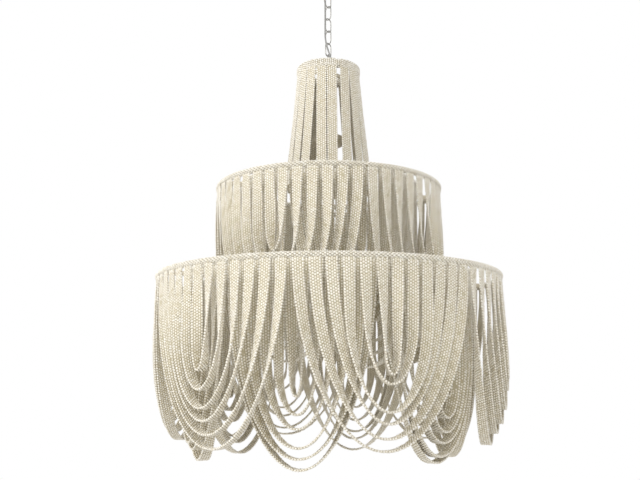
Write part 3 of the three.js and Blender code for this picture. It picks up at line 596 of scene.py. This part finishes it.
def hang_tier(prefix, outside_radius, z, first_turn, bays, drop_shares, bar_z, strand_pitch, twist,
              bays_per_node=1):
    loops = len(drop_shares)
    end_turn = 180 / (bays * loops)
    half = loops * end_turn
    band_radius = outside_radius - BAND_INSET - BAND_THICKNESS / 2
    total = 0
    for bay in range(bays):
        pile = BeadPile(f"{prefix}_bay_{bay + 1}_beads", seed=1000 + 10 * len(prefix) + bay)
        middle_turn = first_turn + 360 * bay / bays
        wind_wrap(pile, outside_radius, z, layout_angle, middle_turn - half, middle_turn + half,
                  LOWER_BAR_ANGLES, bar_z)
        seed = outside_radius / LOWER_RADIUS + bay * loops * 2
        for i, drop_share in enumerate(drop_shares):
            offset = (i + 0.5) * end_turn
            drop = drop_share * LOWEST_DROP + DROP_SCATTER * scatter(seed + i)
            power = twist + TWIST_SCATTER * scatter(seed + i + loops)
            route = swag_route(band_radius, z - BAND_TOP_DROP, layout_angle(middle_turn - offset),
                               layout_angle(middle_turn + offset), drop - BAND_TOP_DROP, power)
            string_band(pile, *route, strand_pitch=strand_pitch)
        total += pile.finish(f"{prefix}_{bay // bays_per_node + 1}")
    print(prefix, "triangles", total)


hang_tier("middle_swag", MIDDLE_RADIUS, MIDDLE_PLANE, -30, 4, MIDDLE_DROP_SHARES, MIDDLE_PLANE,
          BEAD_ACROSS, TWIST_MEAN)
hang_tier("middle_inner_swag", MIDDLE_INNER_RADIUS, MIDDLE_INNER_PLANE, 15, 4, MIDDLE_INNER_DROP_SHARES,
          MIDDLE_PLANE, MIDDLE_INNER_PITCH, STEADY_TWIST)
hang_tier("outer_swag", LOWER_RADIUS, LOWER_PLANE, 15, 6, OUTER_DROP_SHARES, LOWER_PLANE, BEAD_ACROSS,
          TWIST_MEAN)
hang_tier("inner_swag", LOWER_INNER_RADIUS, LOWER_INNER_PLANE, -15, 6, INNER_DROP_SHARES, LOWER_PLANE,
          INNER_PITCH, TWIST_MEAN, bays_per_node=2)

# %% [markdown]
# ## The top tier
# Eighteen straight bands run from the small upper hoop out to the flare hoop, like the staves of
# a tall lampshade. They were tied on by hand, so their feet stand unevenly round the flare hoop.

# %% String the straight bands
FRINGE_GROUPS = 3
FRINGE_BANDS = 6
FRINGE_FLARE_POWER = 1.15
FRINGE_STRAND_PITCH = 5.65
FRINGE_TOP_SHARES = [0.215, 0.165, 0.09, 0.02, -0.05, -0.05, -0.04, 0, -0.05, -0.087, -0.085, -0.074,
                     0.014, 0, 0, 0, 0, -0.041]
FRINGE_FOOT_SHARES = [-0.109, -0.03, -0.2, -0.3, -0.3, 0.06, -0.26, 0.103, -0.199, -0.487, -0.36, -0.274,
                      -0.182, 0.212, 0.1, -0.035, 0.212, -0.071]


def fringe_route(top_angle, foot_angle, samples=120):
    share = np.linspace(0, 1, samples)[:, None]
    top_radius = UPPER_RADIUS - BAND_INSET - BAND_THICKNESS / 2
    foot_radius = FLARE_RADIUS - WRAP_SIZE / 2 + HOOP_WIRE / 2 + SEAT_GAP + BAND_THICKNESS / 2
    top = UPPER_PLANE - BAND_TOP_DROP
    foot = FLARE_PLANE - HOOP_WIRE / 2 + SEAT_GAP
    radius = top_radius + (foot_radius - top_radius) * share ** FRINGE_FLARE_POWER
    angles = (top_angle + (foot_angle - top_angle) * share)[:, 0]
    at = outward(angles) * radius
    at[:, 2] = (top + (foot - top) * share)[:, 0]
    run = np.gradient(at, axis=0)
    run = run / np.linalg.norm(run, axis=1)[:, None]
    return at, run, sideways(angles), outward(angles)


for group in range(FRINGE_GROUPS):
    from_turn = UPPER_BAR_TURNS[0] + 360 * group / FRINGE_GROUPS
    band_turn = 360 / (FRINGE_GROUPS * FRINGE_BANDS)
    pile = BeadPile(f"upper_fringe_{group + 1}_beads", seed=2000 + group)
    wind_wrap(pile, UPPER_RADIUS, UPPER_PLANE, fringe_angle, from_turn, from_turn + 360 / FRINGE_GROUPS,
              UPPER_BAR_ANGLES, UPPER_PLANE, height=UPPER_WRAP_HEIGHT)
    for i in range(FRINGE_BANDS):
        band = group * FRINGE_BANDS + i
        regular = fringe_angle(from_turn + (i + 0.5) * band_turn)
        route = fringe_route(regular + band_turn * FRINGE_TOP_SHARES[band],
                             regular + band_turn * FRINGE_FOOT_SHARES[band])
        string_band(pile, *route, strand_pitch=FRINGE_STRAND_PITCH)
    print(pile.name, "triangles", pile.finish(f"upper_fringe_{group + 1}"))

# %% [markdown]
# ## Tools for the metalwork
# The hard pieces are made from outlines. A turned piece is an outline spun round its axis, wire is
# a circle carried along a path, and holes are cut with a solid of their own. Every piece ends in
# one function, which puts its normals outwards, ties it to its body and hides its solid.

# %% Spin an outline
def soften(points, radius, steps=3):
    """Round the inner corners of an open outline."""
    if not radius:
        return points
    points = [np.array(point, float) for point in points]
    rounded = [points[0]]
    for before, corner, after in zip(points, points[1:], points[2:]):
        back, ahead = before - corner, after - corner
        reach = min(radius, np.linalg.norm(back) * 0.45, np.linalg.norm(ahead) * 0.45)
        start = corner + back / np.linalg.norm(back) * reach
        end = corner + ahead / np.linalg.norm(ahead) * reach
        for t in np.linspace(0, 1, steps + 1):
            rounded.append(start * (1 - t) ** 2 + corner * 2 * t * (1 - t) + end * t ** 2)
    rounded.append(points[-1])
    return rounded


def turn(form, outline, at=(0, 0), steps=64, softness=0.5):
    """Spin an outline of radius and height round the upright axis through a place."""
    outline = soften(outline, softness)
    verts = [form.verts.new((at[0] + radius, at[1], z)) for radius, z in outline]
    edges = [form.edges.new(pair) for pair in zip(verts, verts[1:])]
    bmesh.ops.spin(form, geom=verts + edges, cent=(*at, 0), axis=(0, 0, 1), angle=2 * math.pi,
                   steps=steps, use_merge=True)
    bmesh.ops.remove_doubles(form, verts=form.verts, dist=0.001)
    on_axis = [edge for edge in form.edges if not edge.link_faces]
    bmesh.ops.delete(form, geom=on_axis, context="EDGES")


# %% Bend wire along a path
def path_matrices(points, closed=False):
    """A frame at every point of a path, turned as little as possible from one to the next."""
    points = np.array(points, float)
    if closed:
        runs = np.roll(points, -1, axis=0) - np.roll(points, 1, axis=0)
    else:
        runs = np.gradient(points, axis=0)
    runs = runs / np.linalg.norm(runs, axis=1)[:, None]
    helper = UP if abs(runs[0] @ UP) < 0.9 else np.array([0.0, 1.0, 0.0])
    across = np.cross(helper, runs[0])
    matrices = []
    for at, run in zip(points, runs):
        across = across - run * (across @ run)
        across = across / np.linalg.norm(across)
        matrices.append(frame_matrix(at, across, np.cross(run, across), run))
    return matrices + matrices[:1] if closed else matrices


def edges_of(verts):
    return list({edge for vert in verts for edge in vert.link_edges})


def wire(form, points, radius, sides=14, closed=False, swell=None):
    """A round wire along a path. Its ends are flat, or it closes on itself."""
    matrices = path_matrices(points, closed)
    if swell is not None:
        matrices = [matrix @ Matrix.Diagonal((factor, factor, 1, 1))
                    for matrix, factor in zip(matrices, swell)]
    made = bmesh.ops.create_circle(form, cap_ends=not closed, segments=sides, radius=radius)["verts"]
    bmesh.ops.transform(form, matrix=matrices[0], verts=made)
    last = extrude_along(form, edges_of(made), matrices)
    if closed:
        bmesh.ops.remove_doubles(form, verts=form.verts, dist=0.03)
    else:
        bmesh.ops.edgeloop_fill(form, edges=last)


# %% Finish a piece
def object_from(name, form):
    mesh = bpy.data.meshes.new(name)
    form.to_mesh(mesh)
    form.free()
    return add_object(name, mesh)


def finish_piece(node, how, form, materials, body="fixture", sharp=35):
    """Scale a form to metres, turn its faces outwards, tie it to its body and hide its solid."""
    bmesh.ops.recalc_face_normals(form, faces=form.faces)
    bmesh.ops.scale(form, vec=(MM, MM, MM), verts=form.verts)
    piece = object_from(f"{node}_{how}", form)
    piece.data.shade_smooth()
    piece.data.set_sharp_from_angle(angle=math.radians(sharp))
    for material in materials:
        piece.data.materials.append(material)
    if body:
        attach(piece, body)
    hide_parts(node)
    return piece


def turned_piece(node, how, outline, material, body="fixture", steps=64, softness=0.5,
                 at=(0, 0)):
    """A piece that is one outline spun round an upright axis."""
    form = bmesh.new()
    turn(form, outline, at, steps, softness)
    return finish_piece(node, how, form, [material], body)


def soften_edges(form, edges):
    bmesh.ops.bevel(form, geom=edges, offset=0.6, affect="EDGES", segments=2, profile=0.5, material=-1)


# %% Cut round holes
def drill(piece, places, radius, low, high, sharp=35):
    """Cut upright round holes through a finished piece."""
    for x, y in places:
        form = bmesh.new()
        bmesh.ops.create_cone(form, cap_ends=True, segments=32, radius1=radius * MM, radius2=radius * MM,
                              depth=(high - low) * MM)
        bmesh.ops.translate(form, vec=(x * MM, y * MM, (high + low) / 2 * MM), verts=form.verts)
        tool = object_from("drill", form)
        modifier = piece.modifiers.new("hole", "BOOLEAN")
        modifier.operation = "DIFFERENCE"
        modifier.solver = "EXACT"
        modifier.object = tool
        graph = bpy.context.evaluated_depsgraph_get()
        result = bpy.data.meshes.new_from_object(piece.evaluated_get(graph))
        piece.modifiers.clear()
        piece.data = result
        result.set_sharp_from_angle(angle=math.radians(sharp))
        bpy.data.objects.remove(tool)


# %% [markdown]
# ## The ceiling end
# A pressed canopy hides the ceiling plate. A threaded stud runs up through the canopy into the
# plate's boss, a knurled collar ring holds the canopy up, and the stud's lower end is the loop that
# carries the chain. The cord comes through its own bushing on the left.

# %% Ceiling plate, canopy, collar and loop
PLATE_OUTLINE = [(0, 0), (50, 0), (50, -3), (9, -3), (9, -15), (5.3, -15), (5.3, -3.4), (0, -3.4)]
PLATE_HOLES = [(0, 37.5), (0, -37.5)]
CANOPY_OUTLINE = [(5.3, -30), (37.8, -30), (48, -25.5), (65, -10.5), (65, 0), (63.8, 0), (63.8, -10.2),
                  (47.4, -24.4), (37.4, -28.8), (5.3, -28.8), (5.3, -30)]
CORD_PLACE = (-30, 0)
COLLAR_OUTLINE = [(5.3, -30.3), (12, -30.3), (12, -36.6), (9, -39.3), (5.3, -39.3), (5.3, -30.3)]
GRIP_HEIGHT = -33.4
GRIP_REACH = 2.2
GRIP_INNER = 11
SCREW_HOLE = 2.6
CORD_HOLE = 4.2

plate = turned_piece("ceiling_plate", "turned", PLATE_OUTLINE, nickel, "ceiling", softness=0.4)
drill(plate, PLATE_HOLES, SCREW_HOLE, -4, 1)
canopy = turned_piece("canopy", "pressed", CANOPY_OUTLINE, nickel, "ceiling", 96, 5)
drill(canopy, [CORD_PLACE], CORD_HOLE, -32, -24)

form = bmesh.new()
turn(form, COLLAR_OUTLINE, steps=48, softness=0.8)
grip = []
for face in form.faces:
    middle = face.calc_center_median()
    on_rim = abs(middle.z - GRIP_HEIGHT) < GRIP_REACH and math.hypot(*middle[:2]) > GRIP_INNER
    if face.normal.length and on_rim:
        grip.append(face)
bmesh.ops.inset_individual(form, faces=grip, thickness=0.25, depth=-0.3)
finish_piece("collar_ring", "knurled", form, [nickel], "ceiling")


STUD = 5
LOOP_RADIUS = 11.5
LOOP_WIRE = 2.5
THREAD_STEP = 0.6
THREAD_CREST = STUD - 0.02
THREAD_ROOT = STUD - 0.42


def loop_piece(node, centre, plane_angle, shaft, threaded, body, flange=None):
    """A ring of wire with a shaft that is threaded between two heights."""
    form = bmesh.new()
    arm = sideways(plane_angle)
    ring = [np.array([0, 0, centre]) + LOOP_RADIUS * (UP * math.cos(a) + arm * math.sin(a))
            for a in np.linspace(0, 2 * math.pi, 72, endpoint=False)]
    wire(form, ring, LOOP_WIRE, sides=20, closed=True)
    low, high = shaft
    heights = np.arange(low + 1, high - THREAD_STEP, THREAD_STEP)
    side = [(THREAD_CREST if k % 2 else THREAD_ROOT, z) for k, z in enumerate(heights)
            if threaded[0] < z < threaded[1]]
    if threaded[0] > low:
        side.insert(0, (STUD, side[0][1] - THREAD_STEP))
    if threaded[1] < high:
        side.append((STUD, side[-1][1] + THREAD_STEP))
    outline = [(0, low), (STUD - THREAD_STEP, low)] + side + [(STUD - THREAD_STEP, high), (0, high)]
    turn(form, outline, steps=36, softness=0)
    if flange:
        inside, (low, high) = STUD - 0.5, flange
        rim = [(inside, low), (LOOP_RADIUS, low), (LOOP_RADIUS, high), (inside, high), (inside, low)]
        turn(form, rim, steps=48, softness=0.9)
    finish_piece(node, "turned", form, [nickel], body)


loop_piece("canopy_loop", -57.3, 45, (-45.8, -5.0), (-39.0, -5.0), "ceiling")

# %% Cord bushing and terminal block
BUSHING_OUTLINE = [(2.5, -31.6), (5.5, -31.6), (5.5, -30.3), (3.9, -30.3), (3.9, -28.5), (5.5, -28.5),
                   (5.5, -27.2), (2.5, -27.2), (2.5, -31.6)]
BLOCK_SIZE = (16, 12, 13)
BLOCK_HEIGHT = -9.8

turned_piece("cord_grommet", "moulded", BUSHING_OUTLINE, phenolic, "ceiling", 40,
             at=CORD_PLACE)

form = bmesh.new()
bmesh.ops.create_cube(form, size=1)
bmesh.ops.scale(form, vec=BLOCK_SIZE, verts=form.verts)
bmesh.ops.translate(form, vec=(*CORD_PLACE, BLOCK_HEIGHT), verts=form.verts)
soften_edges(form, form.edges)
for side in (-1, 1):
    facing = Matrix.Rotation(-side * math.pi / 2, 3, "X")
    for x in (-34, -26):
        made = bmesh.ops.create_cone(form, cap_ends=True, segments=20, radius1=2.1, radius2=1.9,
                                     depth=0.7)["verts"]
        bmesh.ops.rotate(form, cent=(0, 0, 0), matrix=facing, verts=made)
        bmesh.ops.translate(form, vec=(x, side * 5.9, BLOCK_HEIGHT), verts=made)
finish_piece("terminal_block", "moulded", form, [sleeve_plastic], "ceiling")

# %% [markdown]
# ## The chain
# Five stock links of three-millimetre wire. Each is bent to an oval and butt-welded on one straight,
# and the weld is left a little thick.

# %% Chain links
LINK_WIRE = 3
LINK_TOP = -84.5
LINK_PITCH = 36.7
LINK_BEND = 10.5
LINK_STRAIGHT = 9.5
WELD_SWELL = 1.09

for number in range(5):
    angle = 45 + 90 * (number % 2)
    arm = sideways(angle)
    centre = np.array([0, 0, LINK_TOP - LINK_PITCH * number])
    points = []
    for side in (1, -1):
        for a in np.linspace(0, math.pi, 17):
            points.append(centre + LINK_BEND * side * (arm * math.cos(a) + UP * math.sin(a))
                          + UP * side * LINK_STRAIGHT)
        for share in (0.3, 0.44, 0.48, 0.52, 0.56, 0.7):
            points.append(centre - LINK_BEND * side * arm + UP * side * LINK_STRAIGHT * (1 - 2 * share))
    weld = np.ones(len(points) + 1)
    weld[19:21] = WELD_SWELL
    form = bmesh.new()
    wire(form, points, LINK_WIRE / 2, sides=16, closed=True, swell=weld)
    finish_piece(f"chain_link_{number + 1}", "bent", form, [nickel], f"link_{number + 1}",
                 sharp=50)

loop_piece("top_loop", -258.3, 90, (-292.3, -269.8), (-292.3, -282.3), "fixture",
           flange=(-282.3, -278.3))

# %% [markdown]
# ## Hoops, hubs and bars
# Each tier's hoop is bent from six-millimetre rod. Flat bars run from it to a turned hub, which is
# fixed on the stem with a grub screw.

# %% Hoops
HOOPS = [
    ("upper_hoop", UPPER_RADIUS, UPPER_PLANE),
    ("flare_hoop", FLARE_RADIUS, FLARE_PLANE),
    ("middle_hoop", MIDDLE_RADIUS, MIDDLE_PLANE),
    ("middle_inner_hoop", MIDDLE_INNER_RADIUS, MIDDLE_INNER_PLANE),
    ("lower_hoop", LOWER_RADIUS, LOWER_PLANE),
    ("lower_inner_hoop", LOWER_INNER_RADIUS, LOWER_INNER_PLANE),
]
HOOP_ANGLES = np.arange(0, 360, 2.5)
for node, outside, plane in HOOPS:
    form = bmesh.new()
    circle = on_circle(outside - WRAP_SIZE / 2, HOOP_ANGLES, plane)
    wire(form, circle, HOOP_WIRE / 2, sides=12, closed=True)
    finish_piece(node, "bent", form, [frame_paint], sharp=60)


# %% Hubs with their bars
BORE = 6.8
HUB_OUTLINE = [(BORE, -12), (19, -12), (22, -9), (22, 9), (19, 12), (BORE, 12), (BORE, -12)]
BAR_START = 19
BAR_END_ROOM = HOOP_WIRE / 2 + 0.1


def spider(node, plane, angles, outside_radius):
    form = bmesh.new()
    turn(form, [(radius, plane + z) for radius, z in HUB_OUTLINE], softness=1.2)
    for angle in angles:
        made = bmesh.ops.create_cube(form, size=1)["verts"]
        length = outside_radius - WRAP_SIZE / 2 - BAR_END_ROOM - BAR_START
        bmesh.ops.scale(form, vec=(BAR_THICKNESS, length, BAR_HEIGHT), verts=made)
        bmesh.ops.translate(form, vec=(0, -(BAR_START + length / 2), plane), verts=made)
        facing = Matrix.Rotation(math.radians(angle), 3, "Z")
        bmesh.ops.rotate(form, cent=(0, 0, 0), matrix=facing, verts=made)
        soften_edges(form, edges_of(made))
        for side in (-1, 1):
            foot = outward(angle) * 21.9 + sideways(angle) * side * 1.9
            wire(form, [foot + UP * (plane + z) for z in (-5.6, -3, 0, 3, 5.6)], 1.1, sides=8,
                 swell=(0.7, 1, 1.06, 1, 0.7))
    finish_piece(node, "welded", form, [frame_paint])


spider("upper_spider", UPPER_PLANE, UPPER_BAR_ANGLES, UPPER_RADIUS)
spider("middle_spider", MIDDLE_PLANE, LOWER_BAR_ANGLES, MIDDLE_RADIUS)
spider("lower_spider", LOWER_PLANE, LOWER_BAR_ANGLES, LOWER_RADIUS)

# %% Stem, canister, finial and gland
STEM_THREAD = [(6.5 - 0.35 * (k % 2), -954.0 + THREAD_STEP * k) for k in range(14)]
STEM_OUTLINE = ([(5.3, -282.6), (5.3, -954.6), (6.1, -954.6)] + STEM_THREAD
                + [(6.5, -944), (6.5, -282.6), (5.3, -282.6)])
CANISTER_OUTLINE = [(BORE, -509.6), (38.2, -509.6), (45, -504.8), (45, -493), (44.4, -492.6),
                    (44.4, -491.8), (45, -491.4), (45, -490.4), (38.2, -485.6), (BORE, -485.6),
                    (BORE, -509.6)]
FINIAL_OUTLINE = [(0, -968.6), (4.6, -968.4), (6.6, -966.6), (8.8, -959.6), (8.2, -955), (11, -950.4),
                  (11, -944.9), (BORE, -944.9), (BORE, -954.9), (0, -954.9)]
GLAND = (16.8 * math.sin(math.radians(35)), -16.8 * math.cos(math.radians(35)))
GLAND_OUTLINE = [(0, -282.3), (5, -282.3), (5, -278.1), (4.3, -277.4), (3.4, -275.3), (0, -275.3)]

turned_piece("stem", "tube", STEM_OUTLINE, nickel, steps=32, softness=0)
turned_piece("wiring_canister", "spun", CANISTER_OUTLINE, frame_paint, steps=96, softness=1.2)
turned_piece("finial", "turned", FINIAL_OUTLINE, nickel, steps=48, softness=1.6)
turned_piece("cord_gland", "moulded", GLAND_OUTLINE, phenolic, steps=40, softness=0.4,
             at=GLAND)

# %% [markdown]
# ## Lamps
# Four bent arms leave a turned body on the stem. Each ends in a cup with a lampholder, an ivory
# candle sleeve over it, and a clear candle bulb with a brass screw cap.

# %% Lamp cluster
LAMP_ANGLES = [60 + 90 * k for k in range(4)]
LAMP_CIRCLE = 82
ARM_BEND = 22
ARM_START = 25
ARM_HEIGHT = -926.6
ARM_RISE = 37.5
BODY_OUTLINE = [(BORE, -944.6), (27.2, -944.6), (34, -933.8), (34, -915.8), (23.8, -908.6),
                (BORE, -908.6), (BORE, -944.6)]
CUP_OUTLINE = [(0, -871.6), (4.6, -871.6), (9, -869.4), (13.6, -864.6), (13.6, -862.6), (0, -862.6)]

level_end = LAMP_CIRCLE - ARM_BEND
bend_top = ARM_HEIGHT + ARM_BEND
arm_line = [(ARM_START + (level_end - ARM_START) * share, ARM_HEIGHT) for share in (0, 0.25, 0.5, 0.75)]
arm_line += [(level_end + ARM_BEND * math.sin(a), bend_top - ARM_BEND * math.cos(a))
             for a in np.linspace(0, math.pi / 2, 13)]
arm_line += [(LAMP_CIRCLE, bend_top + ARM_RISE * share) for share in (0.25, 0.5, 0.75, 0.97)]

form = bmesh.new()
turn(form, BODY_OUTLINE, steps=80, softness=3)
for angle in LAMP_ANGLES:
    wire(form, [on_circle(radius, angle, z) for radius, z in arm_line], 4.5, sides=20)
    turn(form, CUP_OUTLINE, at=on_circle(LAMP_CIRCLE, angle, 0)[:2], steps=40, softness=1)
finish_piece("lamp_cluster", "turned", form, [frame_paint])

# %% Lampholders, sleeves and bulbs
LAMP_BASE = -862.3
HOLDER_OUTLINE = [(0, 0), (9, 0), (9, 46), (7.1, 46), (7.1, 16), (0, 16)]
SLEEVE_OUTLINE = [(10.4, 0), (12, 0), (12, 85), (10.4, 85), (10.4, 0)]
CAP_THREAD = [(6.75 if k % 2 else 6.1, 21 + k * 0.95) for k in range(18)]
CAP_TOP = 41.8
CAP_OUTLINE = ([(0, 16.4), (2.2, 16.4), (2.4, 17.6), (5.6, 19.6)] + CAP_THREAD
               + [(6.3, 38.6), (6.3, CAP_TOP), (0, CAP_TOP)])
GLASS_STEM_OUTLINE = [(0, CAP_TOP), (3.2, CAP_TOP), (2.2, 58), (1.6, 74), (0, 75)]
LEAD_LINE = [(0.9, 72), (1.6, 80), (4.6, 92), (5.4, 104)]
LEAD_END, LEAD_TOP = LEAD_LINE[-1]
GLASS_OUTLINE = [(6.2, 42.3), (7.2, 60), (7.6, 82), (10.5, 90), (16.2, 99), (17.5, 106), (16.8, 113),
                 (13.8, 121), (9.2, 129.5), (5.2, 136), (2.4, 141), (0.9, 143.3), (0, 143.6)]
GLASS_INSIDE = [(max(r - 0.7, 0), z - (0.9 if r < 3 else 0.2)) for r, z in reversed(GLASS_OUTLINE)]
GLASS_INSIDE[-1] = (5.5, 42.3)


def on_lamp(outline):
    """The outline with its heights counted from the lampholder's foot."""
    return [(radius, LAMP_BASE + z) for radius, z in outline]


for number, angle in enumerate(LAMP_ANGLES, 1):
    spot = on_circle(LAMP_CIRCLE, angle, 0)[:2]
    body = f"lamp_bulb_{number}"
    bulb = f"bulb_{number}"

    turned_piece(f"lamp_socket_{number}", "moulded", on_lamp(HOLDER_OUTLINE), phenolic,
                 steps=40, at=spot)
    turned_piece(f"candle_sleeve_{number}", "moulded", on_lamp(SLEEVE_OUTLINE), sleeve_plastic,
                 steps=48, softness=0.6, at=spot)

    form = bmesh.new()
    turn(form, on_lamp(soften(CAP_OUTLINE, 0.35, 1)), spot, 28, 0)
    turn(form, on_lamp(GLASS_STEM_OUTLINE), spot, 16, 0.6)
    root = np.array([*spot, LAMP_BASE])
    arm = sideways(angle)
    for side in (-1, 1):
        wire(form, [root + arm * side * x + UP * z for x, z in LEAD_LINE], 0.3, sides=6)
    coil = [root + arm * LEAD_END * (2 * t - 1) + UP * (LEAD_TOP + 9 * math.sin(math.pi * t))
            + outward(angle) * 0.7 * math.sin(60 * t) for t in np.linspace(0, 1, 60)]
    wire(form, coil, 0.22, sides=5)
    form.faces.ensure_lookup_table()
    for face in form.faces:
        face.material_index = 0 if face.calc_center_median().z < LAMP_BASE + CAP_TOP - 0.1 else 1
    finish_piece(bulb, "cap", form, [cap_brass, nickel], body)

    form = bmesh.new()
    turn(form, on_lamp(GLASS_OUTLINE + GLASS_INSIDE + [GLASS_OUTLINE[0]]), spot, 32, 1.5)
    finish_piece(bulb, "glass", form, [bulb_glass], body, sharp=60)

# %% [markdown]
# ## The supply cord
# The cord leaves its bushing, comes to the chain's front left, runs down beside it and goes round
# the last link into the gland. It crosses all six pivots, so it is made in six lengths that meet in
# the middle of a link.

# %% Supply cord
CORD_RADIUS = 2.2
CORD_TOP = -30
CORD_FOOT = -275.3
CORD_ROUTE_SHARES = [
    (30, -90, 0.016), (29, -88, 0.049), (25.5, -82, 0.09), (21, -68, 0.135), (17.5, -49, 0.188),
    (15.8, -36, 0.253), (15.5, -34, 0.334), (15.5, -34, 0.424), (15.5, -34, 0.514),
    (15.5, -34, 0.603), (15.5, -33, 0.677), (15.6, -25, 0.742), (15.9, -14, 0.799),
    (16.3, -2, 0.848), (16.7, 10, 0.893), (17.1, 22, 0.934), (17.1, 32, 0.968),
]
knots = [np.array([*CORD_PLACE, -16.9]), np.array([*CORD_PLACE, -28.8])]
knots += [on_circle(distance, angle, CORD_TOP + (CORD_FOOT - CORD_TOP) * share)
          for distance, angle, share in CORD_ROUTE_SHARES]
knots.append(np.array([*GLAND, -275.0]))


def smooth_path(knots, samples=14):
    """A centripetal curve through every knot."""
    padded = [2 * knots[0] - knots[1]] + knots + [2 * knots[-1] - knots[-2]]
    points = []
    for a, b, c, d in zip(padded, padded[1:], padded[2:], padded[3:]):
        times = np.cumsum([0] + [math.sqrt(np.linalg.norm(q - p)) for p, q in ((a, b), (b, c), (c, d))])
        for t in np.linspace(times[1], times[2], samples, endpoint=False):
            def blend(p, q, i, j):
                return (p * (times[j] - t) + q * (t - times[i])) / (times[j] - times[i])

            ab, bc, cd = blend(a, b, 0, 1), blend(b, c, 1, 2), blend(c, d, 2, 3)
            points.append(blend(blend(ab, bc, 0, 2), blend(bc, cd, 1, 3), 1, 2))
    return np.array(points + [knots[-1]])


CORD_CUTS = [-16, -86.6, -122.9, -159.5, -196.2, -233.0, -276]
HINGES = [-68.8, -104.5, -141.2, -177.9, -214.6, -251.3]
route = smooth_path(knots)
cord_matrices = path_matrices(route)
for number, (above, below, hinge) in enumerate(zip(CORD_CUTS, CORD_CUTS[1:], HINGES), 1):
    inside = [k for k, point in enumerate(route) if below - 0.01 <= point[2] <= above + 0.01]
    stretch = cord_matrices[max(inside[0] - 1, 0):inside[-1] + 1]
    form = bmesh.new()
    bmesh.ops.create_circle(form, cap_ends=True, segments=18, radius=CORD_RADIUS)
    bmesh.ops.transform(form, matrix=stretch[0], verts=form.verts)
    last = extrude_along(form, list(form.edges), stretch)
    bmesh.ops.edgeloop_fill(form, edges=last)
    piece = finish_piece("supply_cord", f"length_{number}", form, [jacket], None, sharp=50)
    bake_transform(piece)
print("cord length", round(float(np.linalg.norm(np.diff(route, axis=0), axis=1).sum()), 1), "mm")

# %% [markdown]
# ## Floor, backdrop and light
# The photograph has a plain white ground, so the world is white to the camera, and to what is seen
# in metal or through glass. The floor takes the object's soft shadow below it, and fades into the
# same white further out. The lamps alone light the beads.

# %% Floor and world
FLOOR_HEIGHT = -2.6
FLOOR_SIZE = 12

floor_form = bmesh.new()
bmesh.ops.create_grid(floor_form, x_segments=4, y_segments=4, size=FLOOR_SIZE / 2)
bmesh.ops.translate(floor_form, vec=(0, 0, FLOOR_HEIGHT), verts=floor_form.verts)
floor = object_from("floor", floor_form)


floor_paint, tree, output, place = new_material("white studio floor")
rays = add_node(tree, "ShaderNodeLightPath").outputs
seen = add_node(tree, "ShaderNodeMath", {0: rays["Is Camera Ray"], 1: rays["Is Glossy Ray"]},
                operation="MAXIMUM")
flat_place = add_node(tree, "ShaderNodeVectorMath", {0: place}, {1: (1, 1, 0)}, operation="MULTIPLY")
distance = add_node(tree, "ShaderNodeVectorMath", {0: flat_place.outputs["Vector"]}, operation="LENGTH")
fade = add_node(tree, "ShaderNodeMapRange", {"Value": distance.outputs["Value"]},
                {"From Min": 1.6, "From Max": 4.8}, interpolation_type="SMOOTHSTEP")
matt = add_node(tree, "ShaderNodeBsdfDiffuse", None, {"Color": linear("#F4F2EE")})
glow = add_node(tree, "ShaderNodeEmission", None, {"Color": (1, 1, 1, 1), "Strength": 0.5})
both = add_node(tree, "ShaderNodeAddShader", {0: matt.outputs["BSDF"], 1: glow.outputs["Emission"]})
plain = add_node(tree, "ShaderNodeEmission", None, {"Color": (1, 1, 1, 1), "Strength": 1.0})
faded = add_node(tree, "ShaderNodeMixShader",
                 {"Fac": fade.outputs["Result"], 1: both.outputs["Shader"], 2: plain.outputs["Emission"]})
floor_mix = add_node(tree, "ShaderNodeMixShader",
                     {"Fac": seen.outputs["Value"], 1: matt.outputs["BSDF"],
                      2: faded.outputs["Shader"]})
tree.links.new(floor_mix.outputs["Shader"], output.inputs["Surface"])
floor.data.materials.append(floor_paint)

AMBIENT = 0.62
world = bpy.data.worlds.new("studio")
world.use_nodes = True
bpy.context.scene.world = world
tree = world.node_tree
tree.nodes.clear()
output = tree.nodes.new("ShaderNodeOutputWorld")
rays = add_node(tree, "ShaderNodeLightPath").outputs
direct = add_node(tree, "ShaderNodeMath", {0: rays["Is Camera Ray"], 1: rays["Is Glossy Ray"]},
                  operation="MAXIMUM")
through = add_node(tree, "ShaderNodeMath", {0: direct.outputs["Value"], 1: rays["Is Transmission Ray"]},
                   operation="MAXIMUM")
soft = add_node(tree, "ShaderNodeBackground", None, {"Color": linear("#FFFFFF"), "Strength": AMBIENT})
white = add_node(tree, "ShaderNodeBackground", None, {"Color": (1, 1, 1, 1), "Strength": 1.0})
world_mix = add_node(tree, "ShaderNodeMixShader",
                     {"Fac": through.outputs["Value"], 1: soft.outputs["Background"],
                      2: white.outputs["Background"]})
tree.links.new(world_mix.outputs["Shader"], output.inputs["Surface"])


# %% Lamps
def softbox(name, place, target, size, watts):
    data = bpy.data.lights.new(name, "AREA")
    data.shape = "RECTANGLE"
    data.size, data.size_y = size
    data.energy = watts
    lamp = add_object(name, data)
    lamp.location = place
    lamp.rotation_euler = (Vector(target) - Vector(place)).to_track_quat("-Z", "Y").to_euler()


MIDDLE_OF_OBJECT = (0, 0, -0.85)
softbox("front softbox", (0.3, -3.4, 0.4), MIDDLE_OF_OBJECT, (2.4, 2.0), 45)
softbox("left softbox", (-3.0, -1.6, 0.2), MIDDLE_OF_OBJECT, (1.8, 1.8), 58)

bpy.context.scene.view_settings.view_transform = "Standard"
